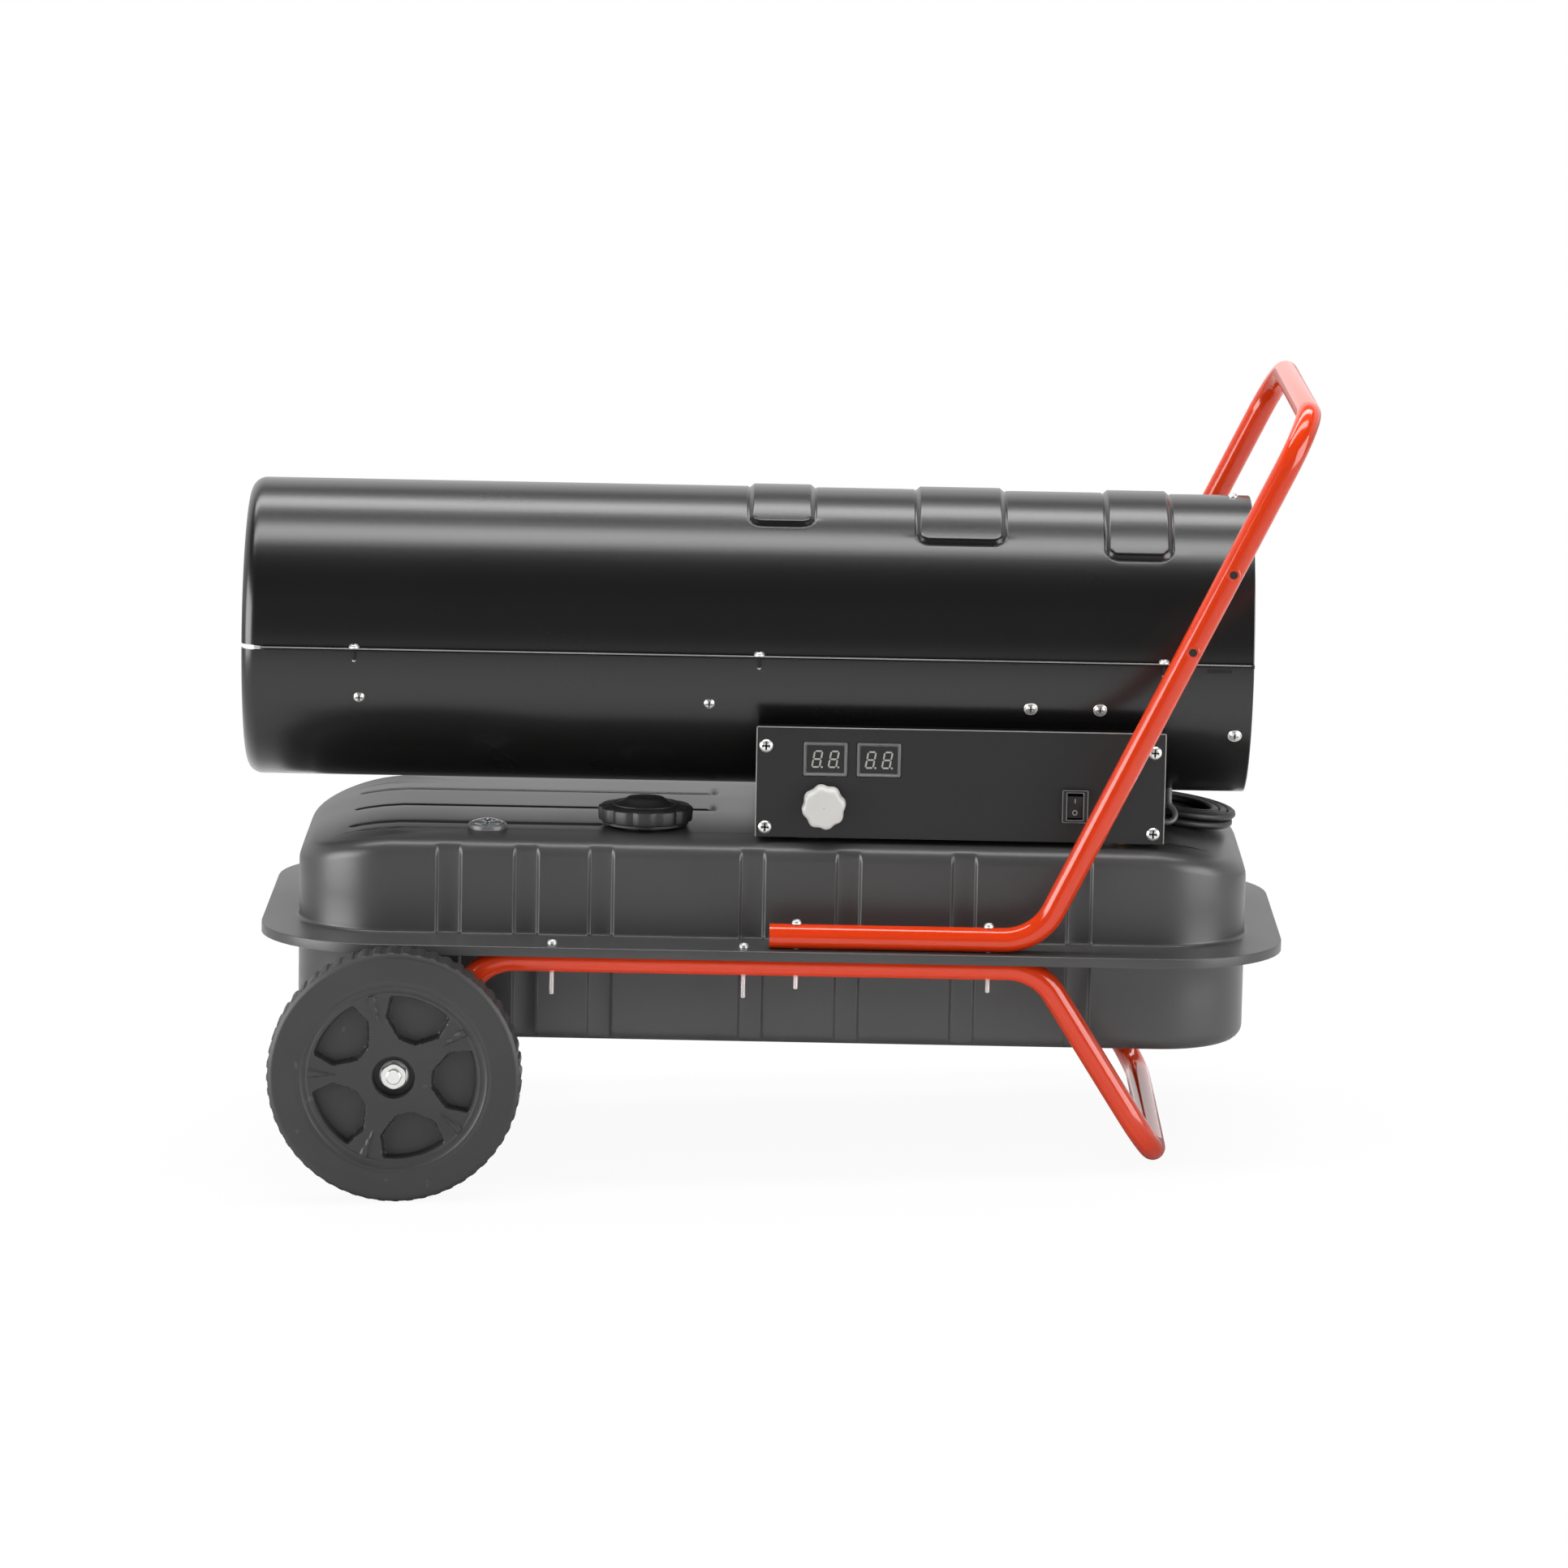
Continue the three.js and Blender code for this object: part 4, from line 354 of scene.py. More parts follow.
# painted highlight: a light grey that stands for the light the panel's sheet edges and the flanges' edges
# catch
PAINTED_EDGE_HIGHLIGHT = finish("painted_edge_highlight", (0.30, 0.30, 0.29), 0.35, grain=900, bump=0.1, mottle=0.15)
HOLE = finish("hole_shadow", (0.003, 0.003, 0.003), 0.8, grain=500, bump=0.1)


# ---------------------------------------------------------------- camera, light and floor
def add_camera():
    """The photograph's view: 6.2 m from a point in the heater's middle, 9.8 degrees above its level plane
    on the panel's side, turned 1.1 degrees about the line of sight."""
    up_angle, roll = math.radians(9.8), math.radians(1.1)
    back = np.array((0, -math.cos(up_angle), math.sin(up_angle)))
    right = np.array((1.0, 0, 0))
    up = np.array((0, math.sin(up_angle), math.cos(up_angle)))
    axes = (math.cos(roll) * right + math.sin(roll) * up, math.cos(roll) * up - math.sin(roll) * right, back)
    middle, distance = np.array((8.0, 0.0, 104.0)), 6200
    place = in_row(middle + distance * back)
    data = bpy.data.cameras.new("view")
    data.sensor_fit = "HORIZONTAL"
    data.sensor_width = 36
    data.lens = 171.33
    data.clip_end = 60
    camera = bpy.data.objects.new("view", data)
    bpy.context.scene.collection.objects.link(camera)
    m = Matrix.Identity(4)
    for column, axis in enumerate(axes):
        for row, value in enumerate(turned(axis)):
            m[row][column] = value
    for row, value in enumerate(place):
        m[row][3] = value
    camera.matrix_world = m
    bpy.context.scene.camera = camera


def strip_light(name, direction, size, radiance, distance=2.3, glossy=True, diffuse=True):
    """An oblong lamp aimed at the barrel, of a given radiance: power is pi times area times radiance. It may
    be hidden from gloss, or show in gloss only."""
    target = Vector(in_row((0, 0, BARREL_Z)))
    way = Vector(direction).normalized()
    data = bpy.data.lights.new(name, "AREA")
    data.shape = "RECTANGLE"
    data.size, data.size_y = size
    data.energy = math.pi * size[0] * size[1] * radiance
    lamp = bpy.data.objects.new(name, data)
    bpy.context.scene.collection.objects.link(lamp)
    lamp.location = target + way * distance
    x = Vector((0, 0, 1)).cross(way).normalized()
    y = way.cross(x).normalized()
    lamp.matrix_world = Matrix.Translation(lamp.location) @ Matrix((x, y, way)).transposed().to_4x4()
    lamp.visible_glossy = glossy
    lamp.visible_diffuse = diffuse


def add_light():
    """Two long strips above and behind make the bands on the barrel, a box on either side, which only gloss
    shows, lights the round corners, and a broad soft front lamp that no gloss shows fills the front. The
    world is white to the camera; to gloss it is white behind, and dark in front and overhead."""
    def at(elevation):
        e = math.radians(elevation)
        return (0, -math.cos(e), math.sin(e))
    strip_light("strip_over", at(84.5), (3.2, 0.62), 8.8)
    strip_light("strip_behind", at(118), (3.2, 0.5), 8.0)
    for name, turn, radiance in (("left_box", -64, 8.6), ("right_box", 60, 6.4)):
        a = math.radians(turn)
        strip_light(name, (math.sin(a), -math.cos(a), 0.1), (2.0, 1.7), radiance, 2.6, diffuse=False)
    strip_light("front_fill", at(28), (3.0, 2.2), 0.62, 3.0, glossy=False)
    world = bpy.data.worlds.new("studio")
    bpy.context.scene.world = world
    world.use_nodes = True
    tree = world.node_tree
    tree.nodes.clear()
    link = tree.links.new
    white = (1, 1, 1, 1)
    soft, room, plain = (add_node(tree, "Background", Color=white, Strength=k) for k in (0.5, 1.0, 1.0))
    split = add_node(tree, "SeparateXYZ")
    link(add_node(tree, "TexCoord").outputs["Generated"], split.inputs["Vector"])
    both, seen = add_node(tree, "Math"), add_node(tree, "Math")
    both.operation, seen.operation = "MULTIPLY", "MAXIMUM"
    for i, (axis, start, end, least) in enumerate((("Y", -0.35, 0.3, 0.1), ("Z", 0.62, 0.5, 0.12))):
        ramp = add_node(tree, "MapRange", From_Min=start, From_Max=end, To_Min=least, To_Max=1.0)
        ramp.interpolation_type = "SMOOTHSTEP"
        link(split.outputs[axis], ramp.inputs["Value"])
        link(ramp.outputs["Result"], both.inputs[i])
    link(both.outputs["Value"], room.inputs["Strength"])
    path = add_node(tree, "LightPath")
    for i, ray in enumerate(("Is Camera Ray", "Is Transmission Ray")):
        link(path.outputs[ray], seen.inputs[i])
    inner, outer, out = (add_node(tree, kind) for kind in ("MixShader", "MixShader", "OutputWorld"))
    link(path.outputs["Is Glossy Ray"], inner.inputs["Fac"])
    link(soft.outputs["Background"], inner.inputs[1])
    link(room.outputs["Background"], inner.inputs[2])
    link(seen.outputs["Value"], outer.inputs["Fac"])
    link(inner.outputs["Shader"], outer.inputs[1])
    link(plain.outputs["Background"], outer.inputs[2])
    link(outer.outputs["Shader"], out.inputs["Surface"])


def add_floor():
    """A pale floor that is mostly plain white to the camera, so that only the heater's soft shadow shows,
    and all white further off, where it meets the backdrop."""
    mesh = bpy.data.meshes.new("floor")
    mesh.from_pydata([(-20, -20, 0), (20, -20, 0), (20, 20, 0), (-20, 20, 0)], [], [(0, 1, 2, 3)])
    floor = bpy.data.objects.new("floor", mesh)
    bpy.context.scene.collection.objects.link(floor)
    material = bpy.data.materials.new("pale_floor")
    material.use_nodes = True
    tree = material.node_tree
    link = tree.links.new
    shader = tree.nodes["Principled BSDF"]
    shader.inputs["Base Color"].default_value = (0.86, 0.86, 0.86, 1)
    shader.inputs["Roughness"].default_value = 0.9
    glow = add_node(tree, "Emission", Strength=1.0)
    length, share = add_node(tree, "VectorMath"), add_node(tree, "Math")
    length.operation, share.operation = "LENGTH", "MULTIPLY"
    far = add_node(tree, "MapRange", From_Min=0.5, From_Max=1.6, To_Min=0.94, To_Max=1.0)
    mix = add_node(tree, "MixShader")
    link(add_node(tree, "TexCoord").outputs["Object"], length.inputs[0])
    link(length.outputs["Value"], far.inputs["Value"])
    link(add_node(tree, "LightPath").outputs["Is Camera Ray"], share.inputs[0])
    link(far.outputs["Result"], share.inputs[1])
    link(share.outputs["Value"], mix.inputs["Fac"])
    link(shader.outputs["BSDF"], mix.inputs[1])
    link(glow.outputs["Emission"], mix.inputs[2])
    link(mix.outputs["Shader"], tree.nodes["Material Output"].inputs["Surface"])
    mesh.materials.append(material)


# ---------------------------------------------------------------- mains cord and hoses
def crowned(x):
    """Height of the pressed top: level in the middle, falling by 20 mm as a square towards both ends."""
    past = np.maximum(0, np.abs(x) - CROWN_LEVEL) / (TANK[0] / 2 - CROWN_LEVEL)
    return TANK_TOP - CROWN_FALL * past**2


def coil_line(steps_per_turn=30):
    """The coil's middle line: radius 46 less 7 per turn to the middle and out again, climbing one step
    between the two layers, tilted 8 degrees to lie on the crowned top."""
    total = 360 * COIL_TURNS
    turn = np.linspace(0, total, int(COIL_TURNS * steps_per_turn) + 1)
    a = math.pi + np.radians(turn)
    r = COIL_R - COIL_STEP * np.minimum(turn, total - turn) / 360
    h = CORD_R + COIL_STEP * ease((turn - total / 2 + 90) / 180)
    flat = np.stack([r * np.cos(a), r * np.sin(a), h], -1)
    way = np.stack([-np.sin(a), np.cos(a), np.zeros_like(a)], -1)
    cos, sin = math.cos(COIL_TILT), math.sin(COIL_TILT)
    tilt = np.array(((cos, 0, sin), (0, 1, 0), (-sin, 0, cos)))
    centre = np.array((COIL_X, COIL_Y, float(crowned(COIL_X)) + 0.3))
    return flat @ tilt.T + centre, way @ tilt.T


def cord_line():
    """Lead, coil and tail as one line: out of the box along x, round the coil and back to the plug."""
    coil, way = coil_line()
    lead_end = coil[-1] + way[-1] * 0.3
    start_x, turn_x = 255.5, 294.5
    gland_z = lead_end[2] + (lead_end[0] - turn_x) * math.tan(COIL_TILT)
    lead, lead_way = corner_path([(start_x, CORD_Y, gland_z), (turn_x, CORD_Y, gland_z), lead_end], 40, 6)
    first = coil[0] - way[0] * 0.3
    x, y, z = first
    lying, plug_z = 86.1, TANK_TOP + 0.3 + 13 * 0.6
    corners = [first, (x, y + 6, z), (x, y + 22, lying), (x, 61, lying), (x, 75, plug_z), (x, PLUG_Y, plug_z)]
    tail, tail_way = corner_path(corners, 30, 5)
    line = np.vstack([lead, coil[::-1], tail])
    ways = np.vstack([lead_way, -way[::-1], tail_way])
    return line, ways, (x, plug_z), gland_z


def add_cord():
    """The mains cord as one swept tube, its tapered ribbed strain relief and its moulded two-pin plug."""
    line, ways, (plug_x, plug_z), gland_z = cord_line()
    skin = Skin()
    skin.solid_of_rings(swept(line, ways, CORD_R, 14, (0.14, 0.02, 0.99)))
    cord = piece("mains_cord", skin, "heater", RUBBER, ["cord_lead", "cord_coil", "cord_tail"], 60)
    # strain relief: a turned sleeve that tapers in shallow ribs from 7 to 4.4 mm, and its collar
    skin = Skin()
    foot, tip, bore, gland_axis = 268, 289, 3.5, (0, CORD_Y, gland_z)
    x = np.linspace(foot, tip, 43)
    rib = 0.5 + 0.5 * np.cos((x - foot) * 2 * math.pi / 3.5)
    r = 7.0 - 2.6 * (x - foot) / (tip - foot) - 0.8 * rib * (x > foot + 2)
    outer = spun(np.stack([r, x], -1), "x", gland_axis, 28)
    inner = spun(np.stack([np.full_like(x, bore), x], -1), "x", gland_axis, 28)
    skin.sheet(outer, inner, True)
    collar = spun([(bore, 267.8), (8, 267.8), (8, 271), (7.4, 271.8), (bore, 271.8)], "x", gland_axis, 28)
    skin.grid(collar, round_rows=True, round_cols=True)
    sleeve = piece("cord_sleeve", skin, "heater", RUBBER, ["cord_gland"])
    # plug: rings whose half width and half height grow from the neck, and two round pins
    skin = Skin()
    h = np.array((0, 0, 2, 6, 10, 14, 17, 20, 24, 32, 34.6, 35.8, 36))
    w = np.array((3.4, 4.6, 5.0, 5.5, 6.2, 7.4, 9.8, 12.4, 13, 12.7, 12.2, 11, 9.8))
    a = circle_angles(40)[None, :]
    square = (np.abs(np.cos(a))**3 + np.abs(np.sin(a))**3) ** (-1 / 3)
    shape = w[:, None] * (1 + (square - 1) * ease((h[:, None] - 12) / 10))
    rings = np.stack([shape * np.cos(a) + plug_x, np.repeat(h[:, None], 40, 1) + PLUG_Y + 0.2,
                      0.6 * shape * np.sin(a) + plug_z], -1)
    skin.solid_of_rings(rings)
    for side in (-8.5, 8.5):
        pin = [(0.4, 35.5), (2.4, 35.5), (2.4, 53), (1.9, 54.4), (0.9, 54.9)]
        skin.solid_of_rings(spun(pin, "y", (plug_x + side, PLUG_Y, plug_z), 20), slot=1)
    plug = piece("mains_plug", skin, "heater", [BLACK, ZINC], ["cord_plug"], 40)
    in_row(line[0])
    in_row(line).tolist()


def add_hoses():
    """Two hoses on their routes' corners: the air hose from the pump to the back of the nozzle, and the
    fuel hose from the pickup's spigot up into the barrel and along to the nozzle."""
    reach = (BARREL_R - SHEET - 8) * math.sqrt(0.5)
    port, port_x = 40.5 * math.sqrt(0.5), PUMP_X + 12
    back = NOZZLE_X + 0.3
    corners = [(port_x, port, BARREL_Z - port), (port_x, reach, BARREL_Z - reach),
               (back + 24, reach, BARREL_Z - reach), (back + 24, 0, BARREL_Z), (back, 0, BARREL_Z)]
    for name, route, bend, radius, node, material in (
        ("pump_air_hose", corners, 16, 3.0, "air_hose", CLEAR),
        ("suction_hose", fuel_corners(), 8, 2.4, "fuel_hose", HOSE_GREY),
    ):
        line, ways = corner_path(route, bend, 7)
        skin = Skin()
        skin.solid_of_rings(swept(line, ways, radius, 16, (0.35, 0.83, 0.43)))
        hose = piece(name, skin, "heater", material, [node], 60)
        in_row(line[0])
        in_row(line).tolist()


def fuel_corners():
    """Corners of the fuel hose: over the box's rear, up through the barrel's floor, along a lane low in the
    barrel and up to the nozzle."""
    lane = BARREL_Z - math.sqrt((BARREL_R - SHEET - 6.4) ** 2 - 60.0**2)
    end = NOZZLE_X - 6
    return [(299.6, -50, 91), (341, -50, 83.5), (326, -38, 100), (326, -38, BARREL_Z - BARREL_R + SHEET + 14),
            (292, -60, lane), (end, -60, lane), (end, -60, BARREL_Z), (end, -6.3, BARREL_Z)]


# ---------------------------------------------------------------- barrel
def pad_rise(x, above):
    """Rise of the three pressed pads: 2.2 mm inside a rectangle with corners of radius 10, open at the top,
    eased over 3.4 mm inwards from its outline, with a crease of 1 mm just outside it. Lengths down the
    side are angles above level times the radius."""
    rise = np.zeros(np.broadcast(x, above).shape)
    for start, end, foot in PADS:
        across = np.abs(x - (start + end) / 2) - ((end - start) / 2 - 10)
        down = 10 - (above - foot) * math.radians(1) * BARREL_R
        outside = np.hypot(np.maximum(across, 0), np.maximum(down, 0)) - 10
        outside = np.where((across < 0) & (down < 0), np.maximum(across, down) - 10, outside)
        crease = 1.0 * np.exp(-(((outside - 1.0) / 1.0) ** 2))
        rise = rise + 2.2 * ease(-outside / 3.4) - crease
    return rise


def shell_stations():
    """Places along the barrel: every 16 mm, and close together at the ends of the pads."""
    steps = np.concatenate([np.arange(-2.4, 4.2, 0.6), np.arange(5, 11, 1.2)])
    edges = np.concatenate([np.concatenate([s + steps, t - steps]) for s, t, _ in PADS])
    plain = np.linspace(BARREL_FRONT + LIP, BARREL_REAR - 2.5, 52)
    return np.unique(np.round(np.concatenate([plain, edges]), 2))


def barrel_half(upper):
    """Half of the barrel: a roll of radius 12 at the front, then the plain cylinder with its pads, over
    half a turn, with a wall of 1.2 mm, and a flange along each side of the parting."""
    skin = Skin()
    roll = np.radians(np.linspace(0, 90, 13))
    x = shell_stations() if upper else np.linspace(BARREL_FRONT + LIP, BARREL_REAR - 2.5, 20)
    low = math.degrees(0.15 / BARREL_R)
    above = np.linspace(low, 180 - low, 91)
    if upper:
        near = (-1.1, -0.8, -0.5, -0.25, 0, 0.3, 0.6, 0.9, 1.2, 1.6, 2.2, 2.8, 3.4, 4.2, 5)
        feet = [f + k for _, _, f in PADS for k in near]
        above = np.unique(np.round(np.concatenate([above, feet, [180 - f for f in feet]]), 2))
    height = np.minimum(above, 180 - above)[None, :]

    def notched(xs):
        """Angles of a row: near the front the parting edges draw back by 1.9 mm."""
        back = 1.9 * (1 - ease((xs - BARREL_FRONT - 9) / 7)) / (math.radians(1) * BARREL_R)
        angle = 90 + (above[None, :] - 90) * (90 - low - back) / (90 - low)
        return np.radians(angle if upper else angle + 180)

    def surface(wall):
        roll_x = BARREL_FRONT + LIP - (LIP - wall) * np.cos(roll)
        roll_r = BARREL_R - LIP + (LIP - wall) * np.sin(roll)
        # the rear edge turns in by half a millimetre
        xs = np.concatenate([roll_x[:-1], x, [BARREL_REAR - 0.8, BARREL_REAR]])[:, None]
        rs = np.concatenate([roll_r[:-1], np.full(len(x), BARREL_R - wall),
                             [BARREL_R - wall, BARREL_R - wall - (0.5 if wall == 0 else 0)]])[:, None]
        a = notched(xs)
        r = rs + (pad_rise(xs, height) if upper else np.zeros_like(a))
        return np.stack([np.broadcast_to(xs, r.shape), r * np.cos(a), BARREL_Z + r * np.sin(a)], -1)

    skin.sheet(surface(0), surface(SHEET))
    side = 1 if upper else -1
    start = BARREL_FRONT + LIP + 7
    for near in (-1, 1):
        y0, y1 = near * (BARREL_R - 0.8), near * (BARREL_R + 5.5)
        z0, z1 = BARREL_Z + side * 0.15, BARREL_Z + side * 1.35
        y = np.array((y0, y1 - near * 0.4, y1, y1, y1 - near * 0.4, y0))
        z = np.array((z0, z0, z0 + side * 0.3, z1 - side * 0.3, z1, z1))
        rings = np.array([np.stack([np.full(6, px), y, z], -1)
                          for px in (start, start + 0.3, BARREL_REAR - 0.3, BARREL_REAR)])
        skin.solid_of_rings(rings)
    half = "upper" if upper else "lower"
    piece(f"{half}_barrel_shell", skin, "heater", BARREL, [f"{half}_shell"], 30)


# ---------------------------------------------------------------- screws
def head(skin, centre, up, radius, height, cross=True, washer=0.0, slot=0):
    """A pan head: over a disc the height is h (1 - (r/R)^4)^(1/2), and at least 0.3 h, less a cross recess
    whose arms reach 0.62 R out and have a dark bar in them. It stands along up, on a flat ring if it has a
    washer."""
    up = np.asarray(up, float) / np.linalg.norm(up)
    u = np.cross(up, (0.03, 0.25, 0.97) if abs(up[2]) < 0.9 else (0.97, 0.25, 0.03))
    u /= np.linalg.norm(u)
    v = np.cross(up, u)
    sides = 40
    a = circle_angles(sides)[None, :]
    t = np.array((1, 1, .97, .9, .78, .66, .6, .5, .4, .3, .24, .18, .1, .03))[:, None]
    p, q = t * np.cos(a), t * np.sin(a)
    h = height * np.sqrt(np.clip(1 - t**4, 0.0, 1)) * np.ones_like(p)
    h[0] = 0
    h[1] = height * 0.3
    h = np.maximum(h, np.where(t < 0.999, height * 0.3, 0))
    if cross:
        arm = np.minimum(ease((0.17 - np.abs(p)) / 0.08) * ease((0.66 - np.abs(q)) / 0.08) +
                         ease((0.17 - np.abs(q)) / 0.08) * ease((0.66 - np.abs(p)) / 0.08), 1)
        h = h - arm * height * 0.55 * (t < 0.9)
    rings = np.asarray(centre, float) + radius * (p[..., None] * u + q[..., None] * v) + h[..., None] * up
    skin.solid_of_rings(rings, slot=slot)
    if cross:
        bar = np.array(((-0.6, -0.11), (0.6, -0.11), (0.6, 0.11), (-0.6, 0.11))) * radius
        for along, over in ((u, v), (v, -u)):
            foot = np.asarray(centre, float) + bar[:, :1] * along + bar[:, 1:] * over
            skin.solid_of_rings(np.array([foot + 0.2 * height * up, foot + 0.5 * height * up]), slot=slot + 1)
    if washer:
        ring = [(radius * 0.5, -0.1), (washer, -0.1), (washer, 0.7), (washer - 0.3, 1.0), (radius * 0.5, 1.0)]
        prof = np.array(ring)
        rr, hh = prof[:, :1], prof[:, 1:]
        flat = rr[..., None] * (np.cos(a)[..., None] * u + np.sin(a)[..., None] * v)
        skin.grid(np.asarray(centre, float) + flat + hh[..., None] * up, True, True, slot)


def side_fall(y):
    """How far the pressed top falls towards the panel's side: as a square past its level part."""
    return SIDE_FALL * (np.maximum(0, -y - SIDE_LEVEL) / (TANK[1] / 2 - SIDE_LEVEL)) ** 2


def threaded(skin, centre, low, high, radius, slot=0):
    """An upright threaded end: radius less 0.25 mm at each of its grooves, 1 mm apart."""
    z = np.arange(low, high + 0.01, 0.5)
    r = radius - 0.25 * (np.arange(len(z)) % 2)
    r[0] = radius - 0.6
    skin.solid_of_rings(spun(np.stack([r, z], -1), "z", (centre[0], centre[1], 0), 16), slot)


def add_shell_screws():
    """Screws through the shells' flanges, pan heads that stand square to the barrel's side, the dark slots
    below the rear of the parting, whose black is painted shadow, and light strips painted on the flanges'
    edges as their highlight."""
    skin = Skin()
    for y in (-1, 1):
        for x in PARTING_SCREWS:
            place = (x, y * (BARREL_R + 1.9), BARREL_Z + 1.35)
            head(skin, place, (0, 0, 1), 4.4, 3.0)
            threaded(skin, place, BARREL_Z - 8.6, BARREL_Z - 1.3, 1.5, 1)
            threaded(skin, place, BARREL_Z - 10.1, BARREL_Z - 8.5, 1.7)
        for x, angle, radius, washer in SIDE_SCREWS:
            a = math.radians(angle)
            way = np.array((0, y * math.cos(a), math.sin(a)))
            foot = np.array((x, 0, BARREL_Z)) + way * (BARREL_R - 0.1)
            head(skin, foot, way, radius, 2.6, washer=washer)
    head(skin, (374, 0, BARREL_Z + BARREL_R - 0.1), (0, 0, 1), 4.2, 2.6)
    piece("shell_screws", skin, "heater", [ZINC, HOLE])
    skin = Skin()
    for y in (-1, 1):
        edges = sorted((y * (BARREL_R - 1.4), y * (BARREL_R + 0.12)))
        skin.solid_of_rings(box_rings((349.5, 370), edges, (223, 226), 0.1))
    piece("shell_slots", skin, "heater", HOLE)
    # painted highlight: thin light strips along the upper flanges' outer edges, standing for the light they
    # catch
    skin = Skin()
    for y in (-1, 1):
        edges = sorted((y * (BARREL_R + 5.0), y * (BARREL_R + 5.7)))
        skin.solid_of_rings(box_rings((-424, BARREL_REAR - 3), edges, (BARREL_Z + 0.5, BARREL_Z + 1.5), 0.15))
    piece("parting_edge_highlights", skin, "heater", PAINTED_EDGE_HIGHLIGHT)


# ---------------------------------------------------------------- tank
def plan_ring(length, width, corner, channel=0.0, steps=12):
    """Points round a rectangle with round corners, its long sides stepped in by the channel depth where
    x is within 8 mm of a channel, eased over 3 mm either side."""
    half = length / 2 - corner
    edge = np.array((8, 8.6, 9.3, 10, 11, 11.4))
    near = np.concatenate([c + np.concatenate([-edge, edge]) for c in CHANNELS])
    x = np.unique(np.concatenate([np.linspace(-312, 312, 14), near]))
    x = x[(x > -315) & (x < 315)]
    inward = np.zeros_like(x)
    for c in CHANNELS:
        inward = np.maximum(inward, ease((11 - np.abs(x - c)) / 3))
    x = np.concatenate([[-half], x * half / 316, [half]])
    inward = channel * np.concatenate([[0], inward, [0]])
    cy = width / 2 - corner
    arc = np.linspace(0, math.pi / 2, steps + 1)[1:-1]

    def corner_points(cx, cyy, start):
        return np.stack([cx + corner * np.cos(arc + start), cyy + corner * np.sin(arc + start)], -1)

    side = np.linspace(-cy, cy, 9)
    return np.vstack([
        np.stack([x, -width / 2 + inward], -1), corner_points(half, -cy, -math.pi / 2),
        np.stack([np.full(9, length / 2), side], -1), corner_points(half, cy, 0),
        np.stack([x[::-1], width / 2 - inward[::-1]], -1), corner_points(-half, cy, math.pi / 2),
        np.stack([np.full(9, -length / 2), side[::-1]], -1), corner_points(-half, -cy, math.pi)])


def tank_ring(inset, z, channel=0.0, plan=TANK):
    """A ring on the tank, inset from its wall, at a height or at a height worked out from x."""
    flat = plan_ring(plan[0] - 2 * inset, plan[1] - 2 * inset, max(plan[2] - inset, 3), channel)
    level = z(flat[:, 0]) - side_fall(flat[:, 1]) if callable(z) else np.full(len(flat), float(z))
    return np.column_stack([flat, level])


def groove_depth(x, y):
    """Depth of the three long grooves: 3.4 exp(-(d/2.7)^2), d from a line along x; two of them end in a
    short hook."""
    depth = np.zeros_like(x)
    for y0, start, end, hook in GROOVES:
        d = np.hypot(np.maximum(np.maximum(start - x, x - end), 0), y - y0)
        if hook:
            t = np.clip((y - y0) / 7, 0, 1)
            d = np.minimum(d, np.hypot(x - end, y - y0 - t * 7))
        depth = np.maximum(depth, 3.4 * np.exp(-((d / 2.7) ** 2)))
    return depth


